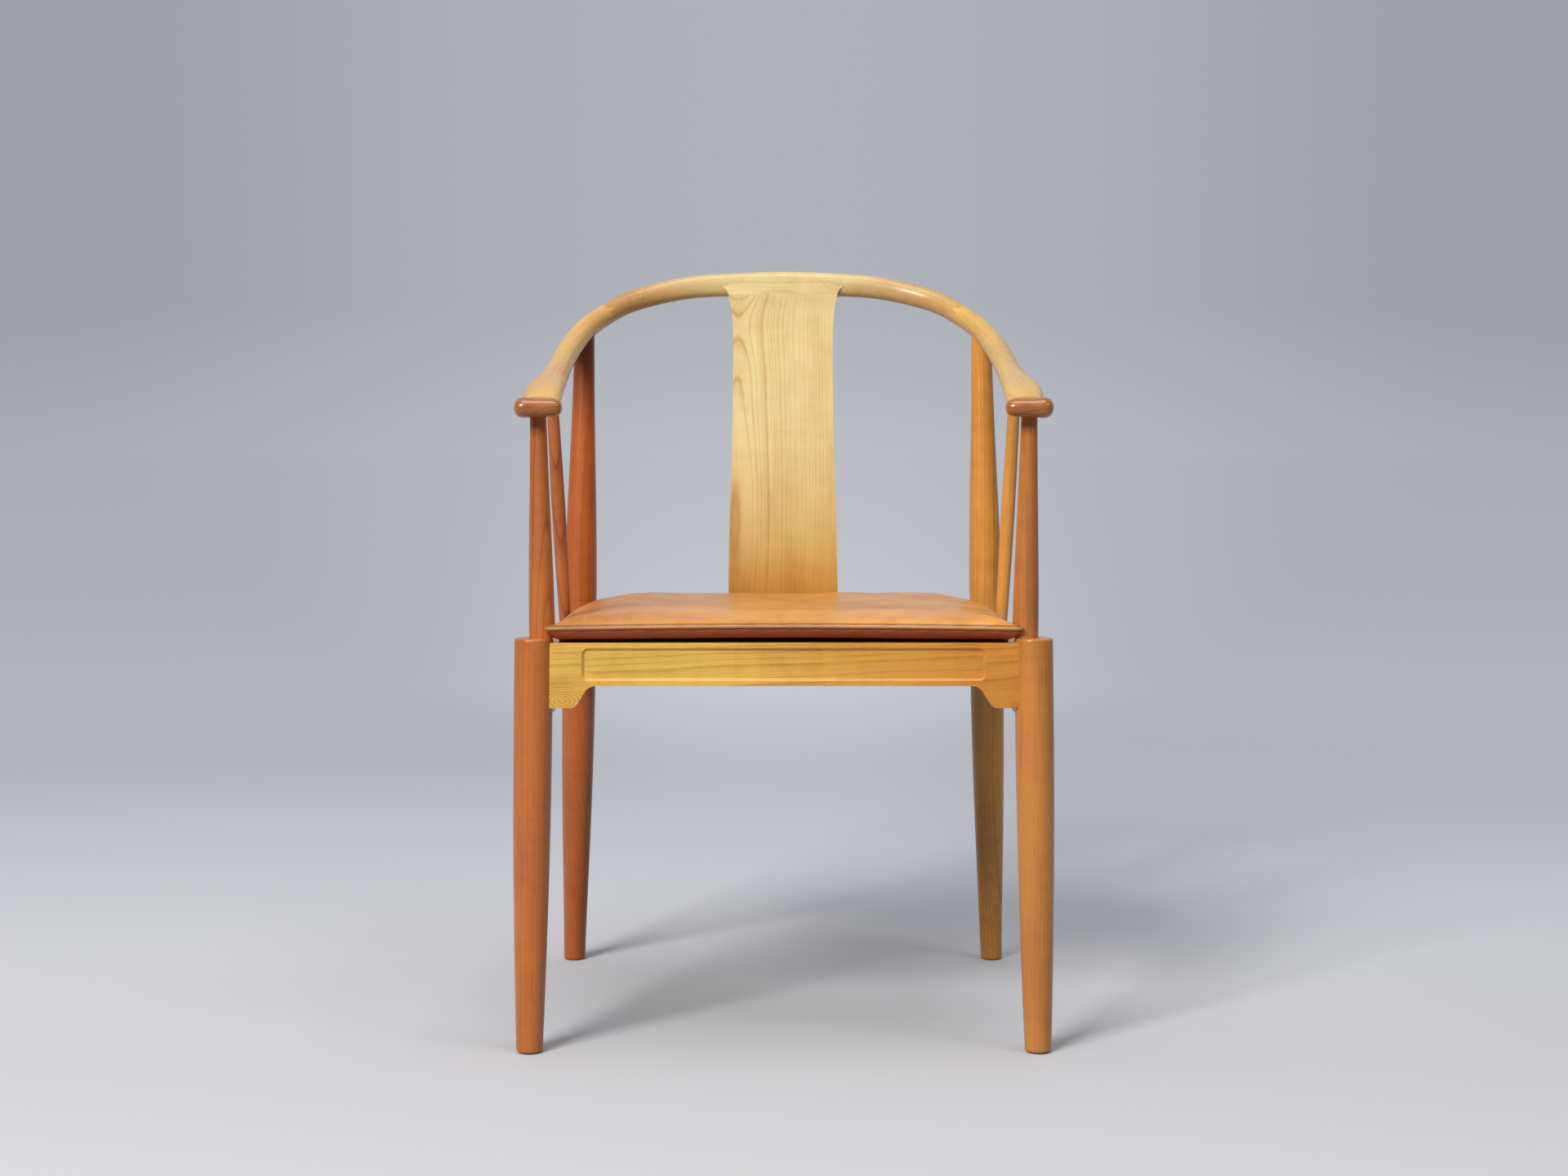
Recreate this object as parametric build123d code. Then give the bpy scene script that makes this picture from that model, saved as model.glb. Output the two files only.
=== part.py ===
from build123d import *
import os
from math import cos, pi, radians, sin

# Horseshoe back armchair: a round-legged frame of lacquered cherry wood under a bow that is
# arm rest and back in one sweep, with a loose leather cushion on a webbed drop-in seat.
# Millimetres. +Z is up and the sitter faces -Y. "Right" is +X: the right-hand side of somebody
# who looks at the chair from the front. The origin is on the floor under the chair's middle.

# ---- Whole chair ------------------------------------------------------------------------------
FRONT_PLANE_Y = -245.0          # Y of the front legs' axes: depths below count back from here
LEG_DEPTH = 396.0               # front leg axis to rear leg axis, at the seat
GLIDE_STAND = 1.0               # the glides hold the wood this far off the floor
STOCK = 1.0                     # extra length left on a piece until it is cut to size
FAR = 1000.0                    # longer than anything in the chair

# ---- Front legs -------------------------------------------------------------------------------
FRONT_FOOT_X = 258.0
FRONT_TOP_X = 253.5
FRONT_LEG_TOP = 420.0
FRONT_LEG_RADIUS = 19.6         # at the seat
FRONT_FOOT_RADIUS = 13.3
LEG_EDGE_ROUND = 2.5            # rounded rim of the foot and of the leg's top
# Tapers are lists of (share of the length, share of the way from the first radius to the last).
FRONT_LEG_TAPER = [(0.18, 0.39), (0.38, 0.72), (0.58, 0.93), (0.78, 1.0)]

# ---- Arm posts, standing on the front legs ----------------------------------------------------
POST_INSET = 8.0                # the post stands this much inside the leg's axis
POST_SETBACK = 5.0              # and this much behind it
POST_FOOT_RADIUS = 13.3
POST_TOP_RADIUS = 8.2
POST_TOP_OUT = 4.0              # top of the post, outside the arm's centre line
POST_TENON_RADIUS = 7.0
POST_TENON_LENGTH = 14.0
POST_TENON_DROP = 1.0           # the blind tenon in the arm starts this much lower than its middle
POST_TAPER = [(0.15, 0.06), (0.45, 0.40), (0.75, 0.78)]

# ---- Rear legs, floor to bow in one piece -----------------------------------------------------
REAR_FOOT_X = 249.0
REAR_SEAT_X = 238.2
REAR_FOOT_KICK = 54.0           # the foot is this much behind the leg at the seat
REAR_TOP_LEAN = 6.0             # the top is this much behind the leg at the seat
REAR_TOP_IN = 1.6               # top of the leg, inside the bow's centre line
REAR_FOOT_RADIUS = 12.7
REAR_SEAT_RADIUS = 19.4
REAR_TOP_RADIUS = 11.7
REAR_TENON_DROP = 5.0           # the blind tenon in the bow starts this much lower than its middle
REAR_SHIN_Z = 200.0             # point of the axis between foot and seat
REAR_SHIN_KICK = 0.37           # share of the foot's kick that is reached there
REAR_SHIN_SPLAY = 0.45          # and share of the foot's splay
REAR_BACK_Z = 560.0             # point of the axis between seat and bow
REAR_BACK_LEAN = 0.2            # share of the top's lean that is reached there
REAR_LOWER_TAPER = [(0.24, 0.36), (0.48, 0.75), (0.72, 0.97)]
REAR_UPPER_TAPER = [(0.285, 0.20), (0.555, 0.56), (0.80, 0.85)]

# ---- Spindles between the arms and the side rails ---------------------------------------------
SPINDLE_DEPTH_FOOT = 200.0
SPINDLE_DEPTH_TOP = 176.0
SPINDLE_TOP_OUT = 4.2
SPINDLE_FOOT_IN = 1.8           # its foot, inside the side rail's centre line
SPINDLE_END_RADIUS = 6.0
SPINDLE_MID_RADIUS = 7.5
SPINDLE_TENON_DROP = 2.0
SPINDLE_TENON_SHOULDER = 1.5    # shoulder round the spindle's lower tenon
SPINDLE_SWELL = [(0.25, 0.75), (0.45, 1.0), (0.65, 0.8), (1.0, 0.1)]
ROD_TENON_RADIUS = 5.0          # tenons of spindles, posts and rear legs where they meet the bow
ROD_TENON_LENGTH = 11.0
ROD_TENON_RISE = 5.0            # length of such a tenon above its member's end

# ---- Seat rails -------------------------------------------------------------------------------
RAIL_THICKNESS = 20.0
SIDE_RAIL_THICKNESS = 21.0
SIDE_RAIL_INSET = 6.0           # side rail's centre line, inside the legs' axes
CROSS_RAIL_TOP = 415.5          # front and rear rail
SIDE_RAIL_TOP = 408.0
RAIL_HEIGHT = 43.5
BRACKET_DROP = 22.3             # the brackets hang this much below the rail
BRACKET_FLAT = 37.0             # flat underside of a bracket, from the leg's axis
BRACKET_REACH = 63.0            # end of a bracket, from the leg's axis
BRACKET_TOE_ROUND = 9.0
BRACKET_ROOT_ROUND = 13.0
BRACKET_TOE_RUN = 5.0           # the toe starts this much nearer the leg than the flat's end
BRACKET_ROOT_RUN = 7.0          # and the root ends this much nearer the rail's middle
RAIL_EDGE_ROUND = 1.5
PANEL_MARGIN_END = 49.0         # sunk panel, from the leg's axis
PANEL_MARGIN_EDGE = 5.0
PANEL_CORNER = 7.0
PANEL_SINK = 2.6
PANEL_SLOPE = 48.0              # degrees: lean of the panel's rim
TENON_THICKNESS = 9.0
TENON_LENGTH = 14.0             # depth of a rail's tenon in the leg
CROSS_TENON_BOTTOM = 381.0
CROSS_TENON_HEIGHT = 22.0
SIDE_TENON_BOTTOM = 346.0
SIDE_TENON_HEIGHT = 31.0

# ---- Bow --------------------------------------------------------------------------------------
# Half of the bow's centre line, from the crest to the arm's end: half span, depth behind the
# front legs, height, then the section there: width across, height, lean in degrees, squareness.
BOW_STATIONS = [
    (0.0, 508.0, 809.3, 24.0, 29.6, 14.0, 2.3),
    (60.0, 507.2, 808.2, 24.0, 28.2, 14.0, 2.3),
    (112.0, 503.5, 804.6, 24.5, 27.0, 12.0, 2.2),
    (160.2, 493.5, 794.2, 25.0, 26.2, 9.0, 2.0),
    (190.8, 477.0, 783.0, 25.5, 25.6, 6.0, 2.0),
    (212.5, 453.0, 768.8, 26.0, 25.0, 3.0, 2.0),
    (230.0, 418.0, 753.2, 26.5, 25.0, 0.0, 2.0),
    (241.8, 366.0, 734.0, 27.0, 24.5, 0.0, 2.0),
    (247.5, 300.0, 714.4, 27.0, 23.5, 0.0, 2.0),
    (248.2, 220.0, 696.5, 27.0, 22.0, 0.0, 2.2),
    (248.0, 130.0, 682.0, 33.0, 20.0, 0.0, 2.4),
    (247.2, 45.0, 670.0, 39.0, 18.0, 0.0, 2.6),
    (245.0, -14.0, 653.2, 34.0, 16.0, 0.0, 2.6),
]
ARM_END_DEPTH = -8.0            # the knobs are glued on here, on an upright plane
SECTION_POINTS = 12
BOW_JOINT_STATION = 5           # the finger joint lies at this station
FINGER_LENGTH = 16.0
FINGER_PITCH = 7.0
FINGER_COUNT = 5

# ---- Knobs at the arm ends --------------------------------------------------------------------
KNOB_OUTER_X = 272.0
KNOB_INNER_X = 223.5
KNOB_FRONT = -30.0              # depth of its front, before the front legs' axes
KNOB_DEPTH_SHARE = 0.62         # its middle line lies behind its front by this share of its depth
KNOB_BALL_RADIUS = 10.5
KNOB_Z = 653.4
# Its swell: shares of the length from the inner end, and of the outer ball's radius.
KNOB_SWELL = [
    (0.0, 0.24),
    (0.02, 0.48),
    (0.08, 0.74),
    (0.19, 0.87),
    (0.36, 0.91),
    (0.55, 0.93),
    (0.69, 0.98),
    (0.79, 1.0),
    (0.88, 0.93),
    (0.95, 0.72),
    (0.988, 0.42),
    (1.0, 0.16),
]
KNOB_DOWEL_RADIUS = 4.0
KNOB_DOWEL_LENGTH = 16.0
KNOB_DOWEL_EMBED = 6.0          # depth of the dowel in the arm
KNOB_DOWEL_RISE = 2.0

# ---- Splat ------------------------------------------------------------------------------------
SPLAT_THICKNESS = 11.0
CREST_DROP = 13.5               # the flush joint with the crest is this much below its centre line
SPLAT_TOP = BOW_STATIONS[0][2] - CREST_DROP
SPLAT_JOINT_HALF = 66.0         # half width at that joint
SPLAT_FOOT_HALF = 63.6
SPLAT_WAIST_HALF = 59.8
SPLAT_WAIST_Z = 735.0
HEAD_SPREAD = 28.0              # the crest's flush head spreads this much on each side
HEAD_RISE = CREST_DROP          # and ends where the crest is deepest, so it runs out flush there
SPLAT_SET_BACK = 2.0            # its foot stands this much behind the rear rail's middle
SPLAT_FOOT_DEPTH = LEG_DEPTH + SPLAT_SET_BACK
# The splat's sweep: heights, and shares of the way back from its foot to the crest.
SPLAT_CURVE = [(480.0, 0.04), (560.0, 0.185), (640.0, 0.42), (720.0, 0.715)]
SPLAT_BELLY_DROP = 15.0         # the side's middle point is this much below halfway to the waist
SPLAT_FLARE_Z = 25.0            # above the waist, where the side starts to flare
SPLAT_FLARE = 0.8
SPLAT_STEPS = 12
HEAD_SPARE = 3.0                # the head's blank is this much higher than its outline
SPLAT_TENON_THICKNESS = 5.0
SPLAT_TENON_LENGTH = 12.0
SPLAT_TENON_MARGIN = 12.0

# ---- Drop-in seat -----------------------------------------------------------------------------
SEAT_TOP = 402.0
SEAT_BAR_THICKNESS = 16.0
SEAT_BAR_WIDTH = 45.0
SEAT_PLAY = 1.0                 # play between the seat frame and the rails
STRAP_WIDTH = 50.0
STRAP_THICKNESS = 2.5
STRAP_COUNT = 4
STRAP_END = 12.0                # a strap ends this far inside the seat frame's edge
STRAP_LAP = 8.0                 # the outermost straps lie this far over the bars beside them
TACK_INSET = 9.0                # from a strap's end
TACK_RADIUS = 4.0
TACK_HEIGHT = 1.2
TACK_SHANK_RADIUS = 1.0
TACK_SHANK_LENGTH = 10.0

# ---- Corner blocks and screws -----------------------------------------------------------------
BLOCK_LEG = 52.0
BLOCK_HEIGHT = 14.0
BLOCK_NOSE = 10.0               # blunt tip of the block
BLOCK_LEG_PLAY = 0.5
BLOCK_FAR_CUT = 40.0            # length of the clearance cut behind a screw's head
SCREW_RADIUS = 2.0
SCREW_LENGTH = 28.0
SCREW_HEAD_RADIUS = 4.0
SCREW_HEAD_HEIGHT = 2.4
BLOCK_SCREW_OFFSET = 30.0       # from the corner of the rails
SCREW_HEAD_PLAY = 0.6
BLOCK_SCREW_GRIP = 16.0         # wood of the block under the screw's head
SEAT_SCREW_OFFSET = 16.0

# ---- Floor glides -----------------------------------------------------------------------------
GLIDE_RADIUS = 9.0
GLIDE_CHAMFER = 0.4
GLIDE_PIN_RADIUS = 2.5
GLIDE_PIN_LENGTH = 12.0

# ---- Cushion ----------------------------------------------------------------------------------
SOFT_GAP = 0.3                  # soft pieces stay this clear of the wood
CUSHION_TOP = 441.0
CUSHION_FRONT = -18.0           # depth of the front edge, before the front legs' axes
CUSHION_EAR_HALF = 240.5
CUSHION_BACK_MARGIN = 4.0       # between the cushion's back edge and the splat
CUSHION_EDGE_ROUND = 9.0
CUSHION_LAP = 10.0              # the cushion's belly is this much inside the front and rear rails
CUSHION_SIDE_LAP = 35.0         # and this much inside the side rails
CUSHION_POST_GAP = 0.8          # between the cushion and the arm posts
CUSHION_EAR_ROUND = 4.0
CUSHION_NOTCH_ROUND = 2.0
CUSHION_SIDE_ROUND = 200.0
CUSHION_CORNER_ROUND = 60.0
# Rear corner: how far inside the rear legs and ahead of the back edge its points lie.
CUSHION_CORNER = [(-2.0, 76.0), (18.0, 30.0), (55.0, 4.0)]


def at(half_span, depth, height):
    """Point at a half span, a depth behind the front legs' plane and a height."""
    return Vector(half_span, FRONT_PLANE_Y + depth, height)


def mirrored(shape):
    """The left-hand twin of a right-hand piece."""
    return mirror(shape, about=Plane.YZ)


def turned(foot, head, stations):
    """Round member on the straight axis foot to head; stations are (distance, radius)."""
    points = [(radius, 0, along) for along, radius in stations]
    first = points[0]
    last = points[-1]
    flank = Spline(*points)
    rest = Polyline(last, (0, 0, last[2]), (0, 0, first[2]), first)
    body = revolve(make_face(flank + rest), Axis.Z)
    return Plane(origin=foot, z_dir=head - foot).location * body


def rod(foot, direction, radius, length):
    """Plain cylinder from a point along a direction."""
    cylinder = Cylinder(radius, length, align=(Align.CENTER, Align.CENTER, Align.MIN))
    return Plane(origin=foot, z_dir=direction).location * cylinder


def prism(points, bottom, top):
    """Upright prism over a polygon in plan."""
    plan = make_face(Polyline(*[(x, y) for x, y in points], close=True))
    return Pos(0, 0, bottom) * extrude(plan, top - bottom)


# ---- Bow: one smooth loft, then cut into its pieces -------------------------------------------


def bow_axis():
    """Centre line of the whole bow, from the left arm's end to the right arm's end."""
    right = [at(*station[:3]) for station in BOW_STATIONS]
    left = [Vector(-point.X, point.Y, point.Z) for point in right[:0:-1]]
    return Spline(*left, *right)


BOW_AXIS = bow_axis()


def bow_parameter(depth):
    """Place along the right half of the bow's centre line at a depth behind the front legs."""
    low, high = 0.5, 1.0
    for _ in range(40):
        middle = (low + high) / 2
        if (BOW_AXIS @ middle).Y > FRONT_PLANE_Y + depth:
            low = middle
        else:
            high = middle
    return low


def bow_point(depth):
    """Point on the right half of the bow's centre line."""
    return BOW_AXIS @ bow_parameter(depth)


def section_plane(point, tangent, lean):
    """Plane across the bow: X across, Y up, leaning back by lean degrees."""
    across = Vector(0, 0, 1).cross(tangent).normalized()
    plane = Plane(origin=point, x_dir=across, z_dir=tangent)
    return plane.rotated((0, 0, lean))


def bow_section(station, side):
    """Superellipse across the bow at a station; side is 1 on the right and -1 on the left."""
    half_span, depth, height, width, tall, lean, square = station
    point = at(side * half_span, depth, height)
    if half_span:
        tangent = BOW_AXIS % bow_parameter(depth)
        if side < 0:
            tangent = Vector(tangent.X, -tangent.Y, -tangent.Z)
    else:
        tangent = Vector(1, 0, 0)
    points = []
    for step in range(SECTION_POINTS):
        angle = 2 * pi * (step + 0.5) / SECTION_POINTS
        c, s = cos(angle), sin(angle)
        across = width / 2 * abs(c) ** (2 / square) * (1 if c > 0 else -1)
        up = tall / 2 * abs(s) ** (2 / square) * (1 if s > 0 else -1)
        points.append((across, up))
    outline = make_face(Spline(*points, periodic=True))
    return section_plane(point, tangent, -lean) * outline


def bow_blank():
    """The whole bow before its joints are cut."""
    right = [bow_section(station, 1) for station in BOW_STATIONS]
    left = [bow_section(station, -1) for station in BOW_STATIONS[:0:-1]]
    return loft(left + right)


def splat_axis():
    """Side profile of the splat's centre line, as (depth, height) points from foot to head."""
    crest_depth, crest_height, crest_width, lean = [BOW_STATIONS[0][i] for i in (1, 2, 3, 5)]
    drop = crest_height - SPLAT_TOP
    forward = crest_width / 2 - SPLAT_THICKNESS / 2
    top_depth = crest_depth - forward / cos(radians(lean)) - drop * sin(radians(lean))
    sweep = top_depth - SPLAT_FOOT_DEPTH
    points = [(SPLAT_FOOT_DEPTH, CROSS_RAIL_TOP)]
    points += [(SPLAT_FOOT_DEPTH + share * sweep, height) for height, share in SPLAT_CURVE]
    points.append((top_depth, SPLAT_TOP))
    return points


def splat_profile(thickness, rise=0.0):
    """Side profile of the splat as a face in the YZ plane, with a straight rise at the top."""
    centre = [(FRONT_PLANE_Y + depth, height) for depth, height in splat_axis()]
    lean = radians(BOW_STATIONS[0][5])
    spine = Spline(*centre, tangents=[(0, 1), (sin(lean), cos(lean))])
    front, back = [], []
    for step in range(SPLAT_STEPS + 1):
        point = spine @ (step / SPLAT_STEPS)
        tangent = spine % (step / SPLAT_STEPS)
        shift = Vector(-tangent.Y, tangent.X, 0) * (thickness / 2)
        front.append(point + shift)
        back.append(point - shift)
    up = Vector(sin(lean), cos(lean), 0) * rise
    sides = Spline(*front) + Spline(*back)
    ends = Line(front[0], back[0])
    if rise:
        ends += Polyline(front[-1], front[-1] + up, back[-1] + up, back[-1])
    else:
        ends += Line(front[-1], back[-1])
    return Plane.YZ * make_face(sides + ends)


def splat_front():
    """Front outline of the splat, waisted, and of the crest's flush head above it."""
    head_half = SPLAT_JOINT_HALF + HEAD_SPREAD
    head_top = SPLAT_TOP + HEAD_RISE
    middle_half = (SPLAT_FOOT_HALF + SPLAT_WAIST_HALF) / 2
    middle_z = (CROSS_RAIL_TOP + SPLAT_WAIST_Z) / 2
    flank = Spline(
        (SPLAT_FOOT_HALF, CROSS_RAIL_TOP),
        (middle_half, middle_z - SPLAT_BELLY_DROP),
        (SPLAT_WAIST_HALF, SPLAT_WAIST_Z),
        (SPLAT_WAIST_HALF + SPLAT_FLARE, SPLAT_WAIST_Z + SPLAT_FLARE_Z),
        (SPLAT_JOINT_HALF, SPLAT_TOP),
    )
    sweep_out = Spline(
        (SPLAT_JOINT_HALF, SPLAT_TOP),
        (head_half, head_top),
        tangents=[flank % 1, (1, 0)],
    )
    right = flank + sweep_out
    left = mirror(right, about=Plane.YZ)
    closing = Line((-head_half, head_top), (head_half, head_top))
    foot = Line((-SPLAT_FOOT_HALF, CROSS_RAIL_TOP), (SPLAT_FOOT_HALF, CROSS_RAIL_TOP))
    return Plane.XZ * make_face(right + left + closing + foot)


def splat_and_head():
    """Splat and crest head in one, cut by the front outline."""
    side = extrude(splat_profile(SPLAT_THICKNESS, HEAD_RISE + HEAD_SPARE), FAR, both=True)
    front = extrude(splat_front(), FAR, both=True)
    return side & front


BOW_BLANK = bow_blank()
SPLAT_BLANK = splat_and_head()


def above(height):
    """Large block above a height."""
    return Pos(0, 0, height) * Box(2 * FAR, 2 * FAR, FAR, align=(Align.CENTER, Align.CENTER, Align.MIN))


def finger_cutter():
    """Everything of the right arm beyond the zigzag of the finger joint."""
    point = at(*BOW_STATIONS[BOW_JOINT_STATION][:3])
    tangent = BOW_AXIS % bow_parameter(BOW_STATIONS[BOW_JOINT_STATION][1])
    across = Vector(0, 0, 1).cross(tangent).normalized()
    plane = Plane(origin=point, x_dir=tangent, z_dir=across * -1)
    half = FINGER_LENGTH / 2
    rows = range(-FINGER_COUNT, FINGER_COUNT + 1)
    zigzag = [(half if row % 2 else -half, row * FINGER_PITCH / 2) for row in rows]
    far = [(FAR, FAR), (FAR, -FAR)]
    ends = [(zigzag[-1][0], FAR)] + far + [(zigzag[0][0], -FAR)]
    outline = make_face(Polyline(*zigzag, *ends, close=True))
    right_half = Box(FAR, 2 * FAR, 2 * FAR, align=(Align.MIN, Align.CENTER, Align.CENTER))
    return extrude(plane * outline, FAR, both=True) & right_half


def tenon_top(member_point, direction):
    """Round tenon at the top of a rod, post or rear leg, where it enters the bow."""
    start = member_point - direction * ROD_TENON_LENGTH
    return rod(start, direction, ROD_TENON_RADIUS, ROD_TENON_LENGTH + ROD_TENON_RISE)


# ---- Members under the bow --------------------------------------------------------------------


def front_leg():
    """Right front leg, before mortises: swelling taper, rounded foot and shoulder."""
    foot = at(FRONT_FOOT_X, 0, 0)
    head = at(FRONT_TOP_X, 0, FRONT_LEG_TOP)
    swell = FRONT_LEG_RADIUS - FRONT_FOOT_RADIUS
    stations = [(-STOCK, FRONT_FOOT_RADIUS)]
    stations += [(FRONT_LEG_TOP * a, FRONT_FOOT_RADIUS + swell * b) for a, b in FRONT_LEG_TAPER]
    stations.append((FRONT_LEG_TOP + STOCK, FRONT_LEG_RADIUS))
    body = turned(foot, head, stations)
    body = split(body, Plane.XY.offset(GLIDE_STAND), keep=Keep.TOP)
    body = split(body, Plane.XY.offset(FRONT_LEG_TOP), keep=Keep.BOTTOM)
    rims = body.edges().group_by(Axis.Z)
    body = fillet(rims[0] + rims[-1], LEG_EDGE_ROUND)
    return body


def rear_leg_axis(height):
    """Half span and depth of the rear leg's axis at a height."""
    top = bow_point(LEG_DEPTH + REAR_TOP_LEAN)
    top_x = top.X - REAR_TOP_IN
    shin_x = REAR_SEAT_X + (REAR_FOOT_X - REAR_SEAT_X) * REAR_SHIN_SPLAY
    points = [
        (0, REAR_FOOT_X, LEG_DEPTH + REAR_FOOT_KICK),
        (REAR_SHIN_Z, shin_x, LEG_DEPTH + REAR_FOOT_KICK * REAR_SHIN_KICK),
        (CROSS_RAIL_TOP, REAR_SEAT_X, LEG_DEPTH),
        (REAR_BACK_Z, (REAR_SEAT_X + top_x) / 2, LEG_DEPTH + REAR_TOP_LEAN * REAR_BACK_LEAN),
        (top.Z, top_x, LEG_DEPTH + REAR_TOP_LEAN),
    ]
    curve_x = Spline(*[(z, x) for z, x, _ in points])
    curve_y = Spline(*[(z, y) for z, _, y in points])

    def value(curve):
        low, high = 0.0, 1.0
        for _ in range(40):
            middle = (low + high) / 2
            if (curve @ middle).X < height:
                low = middle
            else:
                high = middle
        return (curve @ low).Y

    return value(curve_x), value(curve_y)


def rear_leg():
    """Right rear leg, before mortises: curved and tapering both ways from the seat."""
    seat, foot, top = REAR_SEAT_RADIUS, REAR_FOOT_RADIUS, REAR_TOP_RADIUS
    seat_z, top_z = CROSS_RAIL_TOP, bow_point(LEG_DEPTH + REAR_TOP_LEAN).Z
    stations = [(GLIDE_STAND, foot)]
    stations += [(seat_z * a, foot + (seat - foot) * b) for a, b in REAR_LOWER_TAPER]
    stations.append((seat_z, seat))
    stations += [(seat_z + (top_z - seat_z) * a, seat + (top - seat) * b) for a, b in REAR_UPPER_TAPER]
    stations.append((top_z, top))
    sections = []
    for height, radius in stations:
        half_span, depth = rear_leg_axis(height)
        sections.append(Plane(origin=at(half_span, depth, height)) * Circle(radius))
    body = loft(sections)
    return fillet(body.edges().group_by(Axis.Z)[0], LEG_EDGE_ROUND - 1)


def arm_post():
    """Right arm post, before coping: taper with a soft swell, tenon into the leg."""
    arm = bow_point(POST_SETBACK)
    foot = at(FRONT_TOP_X - POST_INSET, POST_SETBACK, FRONT_LEG_TOP)
    head = Vector(arm.X + POST_TOP_OUT, foot.Y, arm.Z)
    length = (head - foot).length
    drop = POST_FOOT_RADIUS - POST_TOP_RADIUS
    stations = [(-STOCK, POST_FOOT_RADIUS)]
    stations += [(length * a, POST_FOOT_RADIUS - drop * b) for a, b in POST_TAPER]
    stations.append((length, POST_TOP_RADIUS))
    body = turned(foot, head, stations) & above(FRONT_LEG_TOP)
    root = foot + Vector(0, 0, STOCK)
    tenon = rod(root, Vector(0, 0, -1), POST_TENON_RADIUS, POST_TENON_LENGTH + STOCK)
    return body, tenon, head


def spindle():
    """Right spindle, before coping: slender, thickest a little above its middle."""
    arm = bow_point(SPINDLE_DEPTH_TOP)
    head = Vector(arm.X + SPINDLE_TOP_OUT, arm.Y, arm.Z)
    foot = side_rail_point(SPINDLE_DEPTH_FOOT, SIDE_RAIL_TOP) - Vector(SPINDLE_FOOT_IN, 0, 0)
    length = (head - foot).length
    swell = SPINDLE_MID_RADIUS - SPINDLE_END_RADIUS
    stations = [(-2 * STOCK, SPINDLE_END_RADIUS)]
    stations += [(length * a, SPINDLE_END_RADIUS + swell * b) for a, b in SPINDLE_SWELL]
    body = turned(foot, head, stations) & above(SIDE_RAIL_TOP)
    axis = (head - foot).normalized()
    tenon_radius = SPINDLE_END_RADIUS - SPINDLE_TENON_SHOULDER
    tenon = rod(foot + axis * STOCK, axis * -1, tenon_radius, ROD_TENON_LENGTH)
    return body, tenon, head


# ---- Seat rails -------------------------------------------------------------------------------


def side_rail_line():
    """Ends of the right side rail's centre line, at the legs' axes."""
    front = at(FRONT_TOP_X - SIDE_RAIL_INSET, 0, 0)
    rear = at(REAR_SEAT_X - SIDE_RAIL_INSET, LEG_DEPTH, 0)
    return front, rear


def side_rail_point(depth, height):
    """Point on the right side rail's centre line."""
    front, rear = side_rail_line()
    point = front + (rear - front) * (depth / LEG_DEPTH)
    return Vector(point.X, point.Y, height)


def rail_blank(half, top, thickness):
    """Rail along X between two leg axes, with brackets and a sunk panel in its -Y face."""
    bottom = top - RAIL_HEIGHT
    low = bottom - BRACKET_DROP
    flat, reach = half - BRACKET_FLAT, half - BRACKET_REACH
    under = FilletPolyline(
        (half, low),
        (flat - BRACKET_TOE_RUN, low),
        (reach + BRACKET_ROOT_RUN, bottom),
        (0, bottom),
        radius=[BRACKET_TOE_ROUND, BRACKET_ROOT_ROUND],
    )
    outline = under + mirror(under, about=Plane.YZ)
    outline += Polyline((half, low), (half, top), (-half, top), (-half, low))
    body = extrude(Plane.XZ * make_face(outline), thickness / 2, both=True)
    ends = body.edges().filter_by(Axis.X).group_by(Axis.Z)[-1]
    body = fillet(ends, RAIL_EDGE_ROUND)
    width = 2 * (half - PANEL_MARGIN_END)
    height = RAIL_HEIGHT - 2 * PANEL_MARGIN_EDGE
    face = Plane(origin=(0, -thickness / 2, top - RAIL_HEIGHT / 2), x_dir=(1, 0, 0), z_dir=(0, -1, 0))
    panel = face * RectangleRounded(width, height, PANEL_CORNER)
    return body - extrude(panel, -PANEL_SINK, taper=PANEL_SLOPE)


def rail_tenons(half, leg_radius, bottom, height):
    """Tenons at both ends of a rail along X, as a pair of boxes."""
    root = half - leg_radius / 2
    tip = half - leg_radius + TENON_LENGTH
    length = tip - root + leg_radius
    box = Box(length, TENON_THICKNESS, height, align=(Align.MAX, Align.CENTER, Align.MIN))
    right = Pos(tip, 0, bottom) * box
    return right + mirrored(right)


def cross_rail(depth, half, leg_radius, facing):
    """Front or rear rail and its tenons; facing is 1 for a panel to the front, -1 to the back."""
    place = Location((0, FRONT_PLANE_Y + depth, 0), (0, 0, 0 if facing > 0 else 180))
    body = place * rail_blank(half, CROSS_RAIL_TOP, RAIL_THICKNESS)
    tenons = place * rail_tenons(half, leg_radius, CROSS_TENON_BOTTOM, CROSS_TENON_HEIGHT)
    return body, tenons


def side_rail():
    """Right side rail and its tenons, panel outwards."""
    front, rear = side_rail_line()
    middle = (front + rear) / 2
    along = (rear - front).normalized()
    half = (rear - front).length / 2
    outward = along.cross(Vector(0, 0, 1))
    place = Plane(origin=middle, x_dir=along, z_dir=(0, 0, 1)).location
    body = place * rail_blank(half, SIDE_RAIL_TOP, SIDE_RAIL_THICKNESS)
    tenons = place * rail_tenons(half, FRONT_LEG_RADIUS, SIDE_TENON_BOTTOM, SIDE_TENON_HEIGHT)
    return body, tenons, outward


# ---- Seat frame, webbing, blocks and cushion --------------------------------------------------


def inner_half(depth, margin):
    """Half span inside the side rails at a depth, less a margin."""
    front, rear = side_rail_line()
    slant = (rear - front).normalized().Y
    return side_rail_point(depth, 0).X - SIDE_RAIL_THICKNESS / 2 / slant - margin


def seat_bounds():
    """Front and rear depth of the seat frame."""
    return RAIL_THICKNESS / 2 + SEAT_PLAY, LEG_DEPTH - RAIL_THICKNESS / 2 - SEAT_PLAY


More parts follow.
